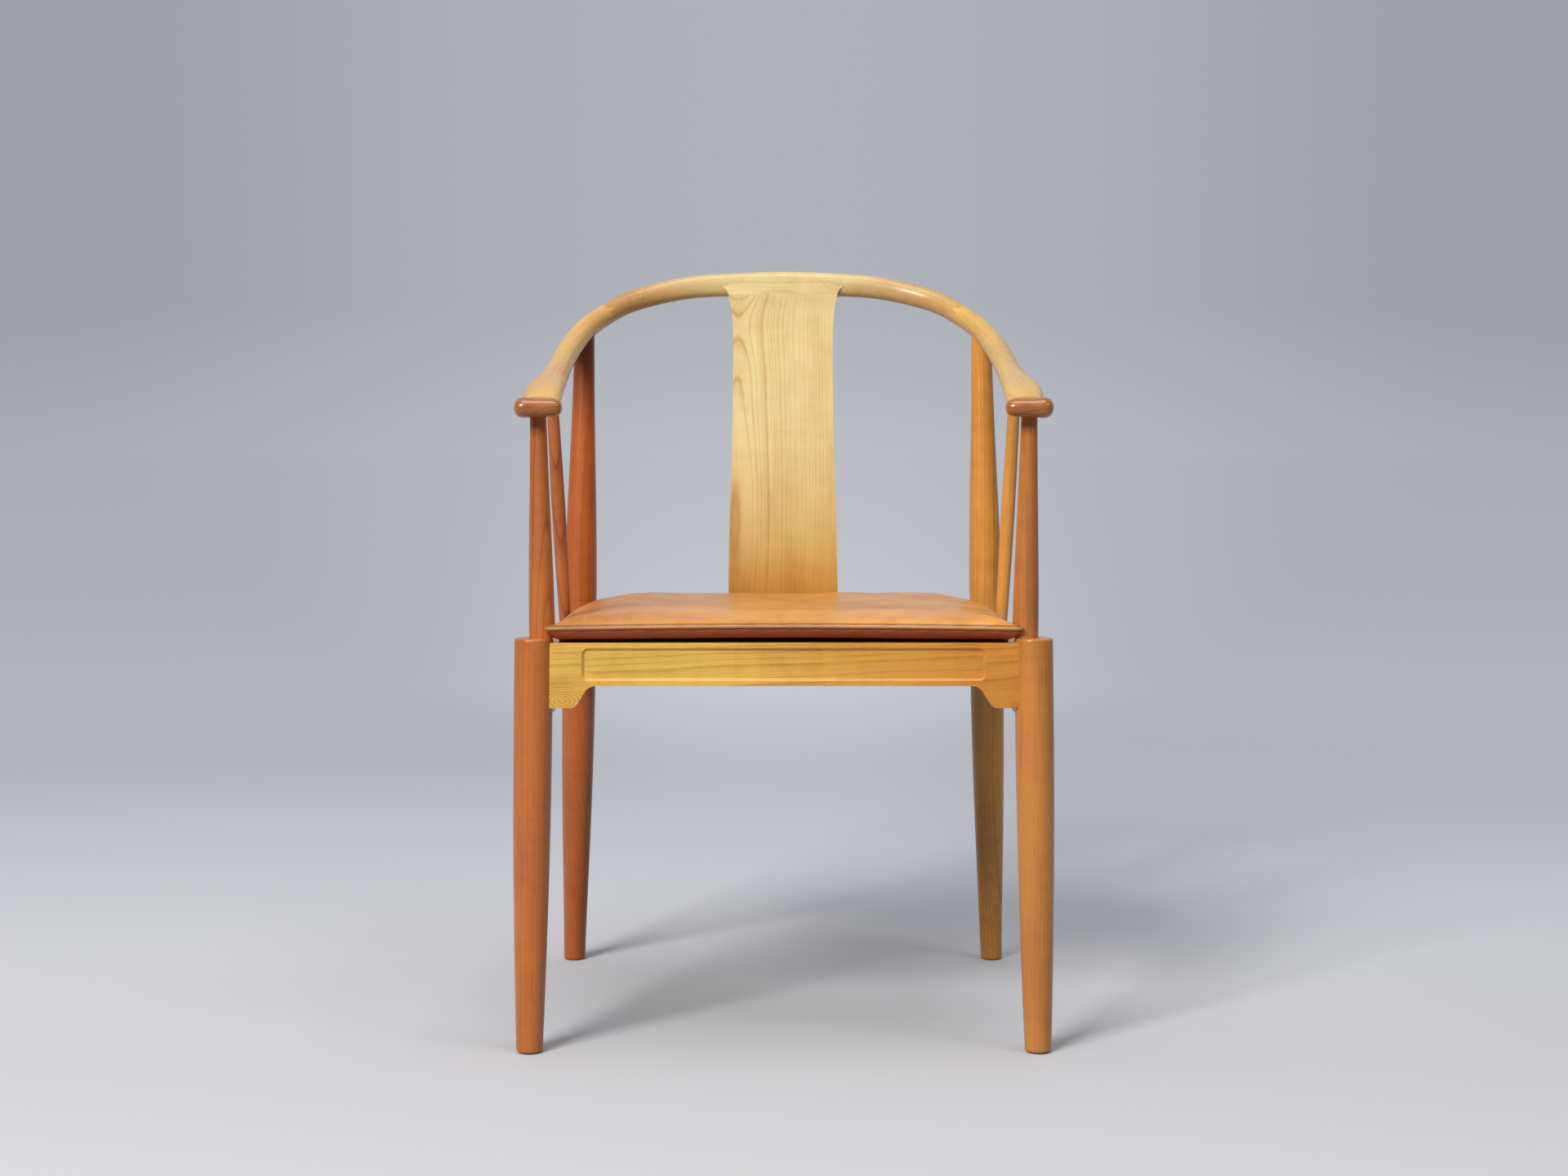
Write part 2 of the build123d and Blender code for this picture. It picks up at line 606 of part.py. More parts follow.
def seat_bars():
    """Front, rear and side bars of the seat frame, half-lapped at the corners."""
    front, rear = seat_bounds()
    bottom = SEAT_TOP - SEAT_BAR_THICKNESS
    middle = SEAT_TOP - SEAT_BAR_THICKNESS / 2

    def band(depth_a, depth_b):
        half_a, half_b = inner_half(depth_a, SEAT_PLAY), inner_half(depth_b, SEAT_PLAY)
        a, b = FRONT_PLANE_Y + depth_a, FRONT_PLANE_Y + depth_b
        return [(-half_a, a), (half_a, a), (half_b, b), (-half_b, b)]

    def side(depth_a, depth_b):
        half_a, half_b = inner_half(depth_a, SEAT_PLAY), inner_half(depth_b, SEAT_PLAY)
        a, b = FRONT_PLANE_Y + depth_a, FRONT_PLANE_Y + depth_b
        return [(half_a, a), (half_a - SEAT_BAR_WIDTH, a), (half_b - SEAT_BAR_WIDTH, b), (half_b, b)]

    front_bar = prism(band(front, front + SEAT_BAR_WIDTH), bottom, SEAT_TOP)
    rear_bar = prism(band(rear - SEAT_BAR_WIDTH, rear), bottom, SEAT_TOP)
    side_bar = prism(side(front, rear), bottom, SEAT_TOP)
    laps = prism(side(front, rear), middle, SEAT_TOP)
    laps += mirrored(laps)
    lower = (front_bar + rear_bar) & prism(side(front, rear), bottom, middle)
    return front_bar - laps, rear_bar - laps, side_bar - lower


def spread(count, low, high, width):
    """Centres of so many straps between two edges, with equal gaps."""
    gap = (high - low - count * width) / (count + 1)
    return [low + gap + width / 2 + i * (gap + width) for i in range(count)]


def webbing():
    """Lengthwise straps, crosswise straps on top of them, and the tacks' places."""
    front, rear = seat_bounds()
    clear = inner_half(rear, SEAT_PLAY) - SEAT_BAR_WIDTH + STRAP_LAP
    run = rear - front - 2 * STRAP_END
    middle = (front + rear) / 2
    lengthwise, crosswise, tacks = [], [], []
    box_align = (Align.CENTER, Align.CENTER, Align.MIN)
    for x in spread(STRAP_COUNT, -clear, clear, STRAP_WIDTH):
        strap = Box(STRAP_WIDTH, run, STRAP_THICKNESS, align=box_align)
        lengthwise.append(Pos(x, FRONT_PLANE_Y + middle, SEAT_TOP) * strap)
        for depth in (front + STRAP_END + TACK_INSET, rear - STRAP_END - TACK_INSET):
            for shift in (-STRAP_WIDTH / 3, STRAP_WIDTH / 3):
                tacks.append(at(x + shift, depth, SEAT_TOP + STRAP_THICKNESS))
    low, high = front + SEAT_BAR_WIDTH - STRAP_LAP, rear - SEAT_BAR_WIDTH + STRAP_LAP
    for depth in spread(STRAP_COUNT, low, high, STRAP_WIDTH):
        half = inner_half(depth + STRAP_WIDTH / 2, SEAT_PLAY) - STRAP_END
        strap = Box(2 * half, STRAP_WIDTH, STRAP_THICKNESS, align=box_align)
        crosswise.append(Pos(at(0, depth, SEAT_TOP + STRAP_THICKNESS)) * strap)
        for x in (-half + TACK_INSET, half - TACK_INSET):
            for shift in (-STRAP_WIDTH / 3, STRAP_WIDTH / 3):
                tacks.append(at(x, depth + shift, SEAT_TOP + 2 * STRAP_THICKNESS))
    return lengthwise, crosswise, tacks


def tack(point):
    """Flat-headed tack whose head lies on a strap, at a point of the strap's top."""
    head = Cylinder(TACK_RADIUS, TACK_HEIGHT, align=(Align.CENTER, Align.CENTER, Align.MIN))
    shank = Cylinder(TACK_SHANK_RADIUS, TACK_SHANK_LENGTH, align=(Align.CENTER, Align.CENTER, Align.MAX))
    return Pos(point) * (head + shank)


def screw(seat, direction):
    """Pan-head screw: its head sits at a point and its shank runs along a direction."""
    shank = rod(seat, direction, SCREW_RADIUS, SCREW_LENGTH)
    head = rod(seat, direction * -1, SCREW_HEAD_RADIUS, SCREW_HEAD_HEIGHT)
    return shank + head


def corner_block(front_end):
    """Right corner block at the front or rear, with its two rail screws and its seat screw."""
    sign = 1 if front_end else -1
    depth = RAIL_THICKNESS / 2 if front_end else LEG_DEPTH - RAIL_THICKNESS / 2
    leg_half = FRONT_TOP_X if front_end else REAR_SEAT_X
    leg_depth = 0 if front_end else LEG_DEPTH
    leg_radius = FRONT_LEG_RADIUS if front_end else REAR_SEAT_RADIUS
    top = SEAT_TOP - SEAT_BAR_THICKNESS
    corner = at(inner_half(depth, 0), depth, 0)
    far = at(inner_half(depth + sign * BLOCK_LEG, 0), depth + sign * BLOCK_LEG, 0)
    plan = [
        (corner.X, corner.Y),
        (corner.X - BLOCK_LEG, corner.Y),
        (corner.X - BLOCK_LEG, corner.Y + sign * BLOCK_NOSE),
        (far.X - BLOCK_NOSE, far.Y),
        (far.X, far.Y),
    ]
    body = prism(plan, top - BLOCK_HEIGHT, top)
    leg_point = at(leg_half, leg_depth, top - BLOCK_HEIGHT - STOCK)
    body -= rod(leg_point, Vector(0, 0, 1), leg_radius + BLOCK_LEG_PLAY, BLOCK_HEIGHT + 2 * STOCK)
    middle = top - BLOCK_HEIGHT / 2
    into_cross = Vector(0, -sign, 0)
    into_side = side_rail()[2]
    cross_seat = corner + Vector(-BLOCK_SCREW_OFFSET, sign * BLOCK_SCREW_GRIP, middle)
    side_foot = at(inner_half(depth + sign * BLOCK_SCREW_OFFSET, 0), 0, 0)
    side_seat = Vector(side_foot.X - BLOCK_SCREW_GRIP, corner.Y + sign * BLOCK_SCREW_OFFSET, middle)
    lift = corner + Vector(-SEAT_SCREW_OFFSET, sign * SEAT_SCREW_OFFSET, top - BLOCK_HEIGHT)
    seats = [(cross_seat, into_cross), (side_seat, into_side), (lift, Vector(0, 0, 1))]
    for seat, direction in seats[:2]:
        body -= rod(seat, direction * -1, SCREW_HEAD_RADIUS + SCREW_HEAD_PLAY, BLOCK_FAR_CUT)
    for seat, direction in seats:
        body -= rod(seat, direction, SCREW_RADIUS, SCREW_LENGTH)
    return body, seats


def cushion():
    """Plain soft solid of the cushion: slab over the rails and belly down to the webbing."""
    post_inner = FRONT_TOP_X - POST_INSET - POST_FOOT_RADIUS - CUSHION_POST_GAP
    post_front = POST_SETBACK - POST_FOOT_RADIUS - CUSHION_POST_GAP
    back = SPLAT_FOOT_DEPTH - SPLAT_THICKNESS / 2 - CUSHION_BACK_MARGIN
    rear_half = REAR_SEAT_X - REAR_SEAT_RADIUS
    edge = [
        (0, CUSHION_FRONT),
        (CUSHION_EAR_HALF, CUSHION_FRONT),
        (CUSHION_EAR_HALF, post_front),
        (post_inner, post_front),
        (post_inner, SPINDLE_DEPTH_FOOT),
    ]
    edge += [(rear_half - inside, back - ahead) for inside, ahead in CUSHION_CORNER]
    edge.append((0, back))
    radii = [CUSHION_EAR_ROUND, CUSHION_NOTCH_ROUND, CUSHION_NOTCH_ROUND, CUSHION_SIDE_ROUND]
    radii += [CUSHION_CORNER_ROUND] * len(CUSHION_CORNER)
    right = FilletPolyline(*[(x, FRONT_PLANE_Y + depth) for x, depth in edge], radius=radii)
    plan = make_face(right + mirror(right, about=Plane.YZ))
    bottom = CROSS_RAIL_TOP + SOFT_GAP
    rim_top = CUSHION_TOP - CUSHION_EDGE_ROUND / 2
    slab = extrude(Pos(0, 0, bottom) * plan, rim_top - bottom)
    crown = offset(plan, amount=-CUSHION_EDGE_ROUND, kind=Kind.ARC)
    slab += extrude(Pos(0, 0, rim_top) * crown, CUSHION_TOP - rim_top)
    front, rear = seat_bounds()
    depths = (front + CUSHION_LAP, back - CUSHION_LAP)
    halves = [inner_half(depth, CUSHION_SIDE_LAP) for depth in depths]
    a, b = [FRONT_PLANE_Y + depth for depth in depths]
    low = SEAT_TOP + 2 * STRAP_THICKNESS + TACK_HEIGHT + SOFT_GAP
    belly = prism([(-halves[0], a), (halves[0], a), (halves[1], b), (-halves[1], b)], low, rim_top)
    leg_top = at(FRONT_TOP_X, 0, FRONT_LEG_TOP + SOFT_GAP)
    over_leg = rod(leg_top, Vector(0, 0, -1), FRONT_LEG_RADIUS + CUSHION_POST_GAP, CUSHION_TOP - bottom)
    return slab + belly - over_leg - mirrored(over_leg)


def ahead_of_arms():
    """Large block in front of the plane on which the knobs are glued."""
    block = Box(2 * FAR, FAR, 2 * FAR, align=(Align.CENTER, Align.MAX, Align.CENTER))
    return Pos(0, FRONT_PLANE_Y + ARM_END_DEPTH, KNOB_Z) * block


def knob():
    """Right arm knob: a rounded cross-grain bar on the arm's end, thicker at its outer ball."""
    deep = (ARM_END_DEPTH - KNOB_FRONT) * KNOB_DEPTH_SHARE
    sections = []
    for along, share in KNOB_SWELL:
        x = KNOB_INNER_X + (KNOB_OUTER_X - KNOB_INNER_X) * along
        plane = Plane(origin=at(x, KNOB_FRONT + deep, KNOB_Z), x_dir=(0, 1, 0), z_dir=(1, 0, 0))
        sections.append(plane * Ellipse(deep * share, KNOB_BALL_RADIUS * share))
    return loft(sections) & ahead_of_arms()


def glide(half_span, depth):
    """Round glide under a foot, with the pin that is driven into it."""
    align = (Align.CENTER, Align.CENTER, Align.MIN)
    sole = Cylinder(GLIDE_RADIUS, GLIDE_STAND, align=align)
    sole = chamfer(sole.edges().group_by(Axis.Z)[0], GLIDE_CHAMFER)
    pin = Cylinder(GLIDE_PIN_RADIUS, GLIDE_STAND + GLIDE_PIN_LENGTH, align=align)
    return Pos(at(half_span, depth, 0)) * (sole + pin)


# ---- Assembly ---------------------------------------------------------------------------------


def build():
    """All nodes as a dictionary of name and shape."""
    nodes = {}
    # Round members and the holes that they need.
    leg = front_leg()
    post, post_tenon, post_head = arm_post()
    rear = rear_leg()
    pin, pin_tenon, pin_head = spindle()
    rear_head = bow_point(LEG_DEPTH + REAR_TOP_LEAN) - Vector(REAR_TOP_IN, 0, 0)
    up = Vector(0, 0, 1)
    post_top = tenon_top(post_head - up * POST_TENON_DROP, up)
    pin_top = tenon_top(pin_head - up * SPINDLE_TENON_DROP, up)
    rear_top = tenon_top(rear_head - up * REAR_TENON_DROP, up)

    # Bow: tenon sockets, flush head, finger joints.
    head = SPLAT_BLANK & above(SPLAT_TOP)
    bow = BOW_BLANK
    bow = bow + head
    splat = SPLAT_BLANK - above(SPLAT_TOP)
    tenon_half = SPLAT_WAIST_HALF - SPLAT_TENON_MARGIN
    top_depth = splat_axis()[-1][0]
    tongue_box = Box(
        2 * tenon_half,
        SPLAT_TENON_THICKNESS,
        2 * SPLAT_TENON_LENGTH,
        align=(Align.CENTER, Align.CENTER, Align.CENTER),
    )
    tongue = Location(at(0, top_depth, SPLAT_TOP), (-BOW_STATIONS[0][5], 0, 0)) * tongue_box
    root = Pos(at(0, SPLAT_FOOT_DEPTH, CROSS_RAIL_TOP)) * tongue_box
    bow = bow - tongue - splat
    splat = splat + (tongue & above(SPLAT_TOP)) + (root - above(CROSS_RAIL_TOP))

    holes_right = [post_top, pin_top, rear_top]
    cutter = finger_cutter()
    arm = (bow & cutter) - ahead_of_arms()
    centre = bow - cutter - mirrored(cutter)
    for hole in holes_right:
        arm = arm - hole
    knob_right = knob()
    dowel_depth = ARM_END_DEPTH + KNOB_DOWEL_EMBED - KNOB_DOWEL_LENGTH
    dowel_start = at(BOW_STATIONS[-1][0], dowel_depth, KNOB_Z + KNOB_DOWEL_RISE)
    dowel = rod(dowel_start, Vector(0, 1, 0), KNOB_DOWEL_RADIUS, KNOB_DOWEL_LENGTH)
    arm = arm - dowel
    knob_right = knob_right - dowel
    nodes["bow_centre"] = centre
    nodes["bow_arm_right"] = arm
    nodes["bow_arm_left"] = mirrored(arm)
    nodes["arm_knob_right"] = knob_right
    nodes["arm_knob_left"] = mirrored(knob_right)
    nodes["knob_dowels"] = [dowel, mirrored(dowel)]
    nodes["back_splat"] = splat

    # Seat rails.
    front_body, front_tenons = cross_rail(0, FRONT_TOP_X, FRONT_LEG_RADIUS, 1)
    rear_body, rear_tenons = cross_rail(LEG_DEPTH, REAR_SEAT_X, REAR_SEAT_RADIUS, -1)
    side_body, side_tenons, _ = side_rail()
    front_legs = leg + mirrored(leg)
    rear_legs = rear + mirrored(rear)
    front_rail = front_body - front_legs + front_tenons
    rear_rail = rear_body - rear_legs + rear_tenons - root
    side_right = side_body - leg - rear - front_body - rear_body + side_tenons - pin_tenon

    # Legs with their mortises; posts and spindles coped to the bow.
    glide_front = glide(FRONT_FOOT_X, 0)
    glide_rear = glide(REAR_FOOT_X, LEG_DEPTH + REAR_FOOT_KICK)
    nodes["front_leg_right"] = leg - front_tenons - side_tenons - post_tenon - glide_front
    nodes["front_leg_left"] = mirrored(nodes["front_leg_right"])
    rear_done = rear - BOW_BLANK - rear_tenons - side_tenons - glide_rear + rear_top
    nodes["rear_leg_right"] = rear_done
    nodes["rear_leg_left"] = mirrored(rear_done)
    post_done = post - BOW_BLANK - knob_right + post_tenon + post_top
    nodes["arm_post_right"] = post_done
    nodes["arm_post_left"] = mirrored(post_done)
    pin_done = pin - BOW_BLANK + pin_tenon + pin_top
    nodes["spindle_right"] = pin_done
    nodes["spindle_left"] = mirrored(pin_done)
    nodes["floor_glides"] = [glide_front, mirrored(glide_front), glide_rear, mirrored(glide_rear)]

    # Corner blocks and their screws.
    block_screws, seat_screws = [], []
    for name, front_end in (("front", True), ("rear", False)):
        body, seats = corner_block(front_end)
        nodes["corner_block_" + name + "_right"] = body
        nodes["corner_block_" + name + "_left"] = mirrored(body)
        for seat, direction in seats[:2]:
            made = screw(seat, direction)
            block_screws += [made, mirrored(made)]
        made = screw(*seats[2])
        seat_screws += [made, mirrored(made)]
    for made in block_screws:
        front_rail = front_rail - made
        rear_rail = rear_rail - made
        side_right = side_right - made
    nodes["front_rail"] = front_rail
    nodes["rear_rail"] = rear_rail
    nodes["side_rail_right"] = side_right
    nodes["side_rail_left"] = mirrored(side_right)
    nodes["corner_block_screws"] = block_screws
    nodes["seat_frame_screws"] = seat_screws

    # Drop-in seat.
    front_bar, rear_bar, side_bar = seat_bars()
    lengthwise, crosswise, places = webbing()
    tacks = [tack(point) for point in places]
    for made in seat_screws + tacks:
        front_bar = front_bar - made
        rear_bar = rear_bar - made
        side_bar = side_bar - made
    nodes["seat_frame_front_bar"] = front_bar
    nodes["seat_frame_rear_bar"] = rear_bar
    nodes["seat_frame_side_bar_right"] = side_bar
    nodes["seat_frame_side_bar_left"] = mirrored(side_bar)
    for made in tacks:
        lengthwise = [strap - made for strap in lengthwise]
        crosswise = [strap - made for strap in crosswise]
    nodes["webbing_lengthwise"] = lengthwise
    nodes["webbing_crosswise"] = crosswise
    nodes["webbing_tacks"] = tacks
    nodes["seat_cushion"] = cushion()
    return nodes


def solids_of(shape):
    """Flat list of the solids in a shape or a list of shapes."""
    if isinstance(shape, list):
        return [solid for item in shape for solid in solids_of(item)]
    return list(shape.solids())


os.makedirs("parts", exist_ok=True)
for node, shape in build().items():
    solids = solids_of(shape)
    export_step(solids[0] if len(solids) == 1 else Compound(children=solids), "parts/" + node + ".step")
    print(node, len(solids), round(sum(solid.volume for solid in solids) / 1000, 1), "cm3")
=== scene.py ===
import math

import bmesh
import bpy
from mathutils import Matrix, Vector, kdtree, noise


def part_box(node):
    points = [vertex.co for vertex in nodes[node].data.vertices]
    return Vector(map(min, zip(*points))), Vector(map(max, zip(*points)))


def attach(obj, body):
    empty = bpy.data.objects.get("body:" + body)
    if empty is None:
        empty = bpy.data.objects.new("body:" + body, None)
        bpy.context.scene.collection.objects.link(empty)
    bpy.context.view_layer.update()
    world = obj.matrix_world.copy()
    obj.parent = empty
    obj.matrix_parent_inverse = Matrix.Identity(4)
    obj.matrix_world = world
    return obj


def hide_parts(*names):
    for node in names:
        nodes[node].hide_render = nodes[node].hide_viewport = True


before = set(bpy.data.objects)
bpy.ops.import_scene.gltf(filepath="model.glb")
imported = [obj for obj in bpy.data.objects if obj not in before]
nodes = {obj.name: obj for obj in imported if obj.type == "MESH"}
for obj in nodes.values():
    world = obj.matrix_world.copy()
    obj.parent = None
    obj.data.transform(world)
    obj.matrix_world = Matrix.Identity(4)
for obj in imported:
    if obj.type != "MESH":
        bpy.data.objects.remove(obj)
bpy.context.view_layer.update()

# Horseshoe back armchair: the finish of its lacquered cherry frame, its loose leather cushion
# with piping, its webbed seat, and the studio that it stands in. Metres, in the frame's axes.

scene = bpy.context.scene
BOX = {name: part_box(name) for name in nodes}
MM = 0.001

# ---- Picture and camera --------------------------------------------------------------------------
PICTURE = (1920, 1440)          # pixels
FOCAL_PIXELS = 3051.0           # focal length in pixels of the picture
HORIZON_PIXEL = 530.0           # height of the horizon, from the picture's top
CAMERA_AT = (-6.0 * MM, -2773.0 * MM, 628.0 * MM)
CAMERA_YAW = 0.14               # degrees, towards +X
SENSOR = 36.0                   # its width in millimetres

# ---- Cushion -------------------------------------------------------------------------------------
PIPING_RADIUS = 1.9 * MM
PIPING_ROUND = 2                # steps in a quarter of its section
SEAM_Z = 430.2 * MM             # the piping's height at the front corners
SEAM_RISE = 2.6 * MM            # and how much higher it runs in the middle
SEAM_STEP = 4.0 * MM            # between two points of the seam's line
SLAB_HALF = 12.0 * MM           # half height of the block that becomes the cushion
VOXEL = 4.5 * MM                # cell of the block's remeshing
RIM_HALF = 1.0 * MM             # half height of the cover inside the piping
TOP_Z = 443.4 * MM              # height of the crowned top
TOP_RUN = 8.0 * MM              # which it reaches over a few times this distance
UNDER_DROP = 12.6 * MM          # the underside hangs this much below the seam, over the rails
UNDER_RUN = 5.0 * MM            # which it reaches over a few times this distance
RAIL_CLEAR = 2.0 * MM           # it drops to the webbing this far behind a rail
BELLY_RUN = 16.0 * MM           # over this distance
CLOTH_FRAMES = 20               # steps of the simulation that fills it
HOLD_RUN = 5.0 * MM             # the cloth is held near the seam, and freed over this distance
SWELL_CAP = 2.0 * MM            # most that the cloth may move a point
HOLLOW = 1.5 * MM               # depth of the place that is sat on
SETTLE_RUN = 50.0 * MM          # folds and hollow begin over this distance from the seam
POST_CLEAR = 0.5 * MM           # between the piping and the arm posts
EAR_OUT = 2.0 * MM              # the leather ears reach this much past the filling


def srgb(code):
    """Linear RGBA of an sRGB hex colour."""
    channels = [int(code[i:i + 2], 16) / 255 for i in (0, 2, 4)]
    return [c / 12.92 if c <= 0.04045 else ((c + 0.055) / 1.055) ** 2.4 for c in channels] + [1.0]


def add(tree, kind, inputs=(), stops=(), **settings):
    """Adds one node: inputs are values or other nodes' sockets, stops those of a colour ramp."""
    made = tree.nodes.new("ShaderNode" + kind)
    for name, value in settings.items():
        setattr(made, name, value)
    for place, (position, value) in enumerate(stops):
        ramp = made.color_ramp.elements
        stop = ramp[place] if place < len(ramp) else ramp.new(position)
        stop.position = position
        stop.color = value if isinstance(value, list) else [value, value, value, 1.0]
    for socket, value in dict(inputs).items():
        if isinstance(value, bpy.types.NodeSocket):
            tree.links.new(value, made.inputs[socket])
        else:
            made.inputs[socket].default_value = value
    return made


def new_material(name):
    """Empty node material: its tree, its Principled shader and its Object coordinates."""
    material = bpy.data.materials.new(name)
    material.use_nodes = True
    tree = material.node_tree
    place = add(tree, "TexCoord")
    return material, tree, tree.nodes["Principled BSDF"], place.outputs["Object"]


def dress(obj, material):
    """Gives an object one material, whatever it had."""
    if not obj.material_slots:
        obj.data.materials.append(material)
    for slot in obj.material_slots:
        slot.material = material


# ---- Wood ----------------------------------------------------------------------------------------
# Patterns to the metre, across the grain twice and then along it.
FIBRES = (900.0, 900.0, 15.0)       # fibres 1 mm wide and 60 mm long
FLECKS = (1400.0, 1400.0, 190.0)    # gum flecks 0.7 mm wide and 5 mm long
CLOUDS = (26.0, 26.0, 6.0)          # broad clouds of colour along the board
RIPPLES = (30.0, 30.0, 75.0)        # ripples of figure across it


def log_place(tree, place, heart, pith):
    """Coordinates of a log whose heart runs along its own Z, through a point in millimetres."""
    turn = Vector(heart).to_track_quat("Z", "Y").to_euler()
    log = add(tree, "Mapping", {0: place, 1: [v * MM for v in pith], 2: turn}, vector_type="TEXTURE")
    return log.outputs[0]


def unbent(tree, place, node):
    """Coordinates of a board before it was bent: its sweep backwards with height is taken out."""
    low, high = BOX[node]
    height = add(tree, "SeparateXYZ", {0: place}).outputs[2]
    share = add(tree, "MapRange", {0: height, 1: low.z, 2: high.z})
    sweep = add(tree, "Math", {0: share.outputs[0], 1: 1.7}, operation="POWER")
    sweep = add(tree, "Math", {0: sweep.outputs[0], 1: low.y - high.y}, operation="MULTIPLY")
    shift = add(tree, "CombineXYZ", {1: sweep.outputs[0]})
    return add(tree, "VectorMath", {0: place, 1: shift.outputs[0]}, operation="ADD").outputs[0]


def ring_years(tree, log, ring, wander, calm):
    """Age of the wood at a point, counted in growth rings of uneven width from the heart.

    Within the calm radius, in millimetres, the young tree grew so fast that it made one ring.
    """
    slow = add(tree, "VectorMath", {0: log, 1: (8.0, 8.0, 2.0)}, operation="MULTIPLY")
    drift = add(tree, "TexNoise", {"Vector": slow.outputs[0], "Scale": 1.0, "Detail": 2.0})
    drift = add(tree, "VectorMath", {0: drift.outputs["Color"], 1: (0.5, 0.5, 0.5)}, operation="SUBTRACT")
    reach = (2 * wander * MM, 2 * wander * MM, 0.0)
    drift = add(tree, "VectorMath", {0: drift.outputs[0], 1: reach}, operation="MULTIPLY")
    moved = add(tree, "VectorMath", {0: log, 1: drift.outputs[0]}, operation="ADD")
    flat = add(tree, "VectorMath", {0: moved.outputs[0], 1: (1.0, 1.0, 0.0)}, operation="MULTIPLY")
    radius = add(tree, "VectorMath", {0: flat.outputs[0]}, operation="LENGTH")
    outer = add(tree, "Math", {0: radius.outputs["Value"], 1: calm * MM}, operation="SUBTRACT")
    outer = add(tree, "Math", {0: outer.outputs[0], 1: 0.0}, operation="MAXIMUM")
    young = add(tree, "MapRange", {0: radius.outputs["Value"], 2: max(calm, 0.1) * MM, 4: 1.6})
    years = add(tree, "Math", {0: outer.outputs[0], 1: 1.0 / (ring * MM), 2: young.outputs[0]},
                operation="MULTIPLY_ADD")
    uneven = add(tree, "TexNoise", {"W": years.outputs[0], "Scale": 0.45, "Detail": 1.0},
                 noise_dimensions="1D")
    return add(tree, "Math", {0: uneven.outputs[0], 1: 1.5, 2: years.outputs[0]}, operation="MULTIPLY_ADD")


def knot_years(tree, place, years, knot):
    """Bends the rings round a small knot: knot is its centre, in millimetres, and its reach."""
    centre, reach = [v * MM for v in knot[:3]], knot[3] * MM
    away = add(tree, "VectorMath", {0: place, 1: centre}, operation="SUBTRACT")
    away = add(tree, "VectorMath", {0: away.outputs[0], 1: (0.55, 0.0, 1.0)}, operation="MULTIPLY")
    away = add(tree, "VectorMath", {0: away.outputs[0]}, operation="LENGTH")
    near = add(tree, "MapRange", {0: away.outputs["Value"], 1: 0.5 * reach, 2: reach, 3: 1.0, 4: 0.0},
               interpolation_type="SMOOTHSTEP")
    rings = add(tree, "Math", {0: away.outputs["Value"], 1: 1.0 / (2.4 * MM)}, operation="MULTIPLY")
    mixed = add(tree, "Mix", {0: near.outputs[0], 2: years, 3: rings.outputs[0]}, data_type="FLOAT")
    return mixed.outputs[0], near.outputs[0]


def faded(tree, place, colour, axis, start, end, tint, amount=0.85):
    """Tints a colour along one axis, from start to end in millimetres."""
    along = add(tree, "SeparateXYZ", {0: place}).outputs[axis]
    share = add(tree, "MapRange", {0: along, 1: start * MM, 2: end * MM, 3: 0.0, 4: amount},
                interpolation_type="SMOOTHSTEP")
    mixed = add(tree, "Mix", {0: share.outputs[0], 6: colour, 7: srgb(tint)}, data_type="RGBA",
                blend_type="MULTIPLY")
    return mixed.outputs[2]


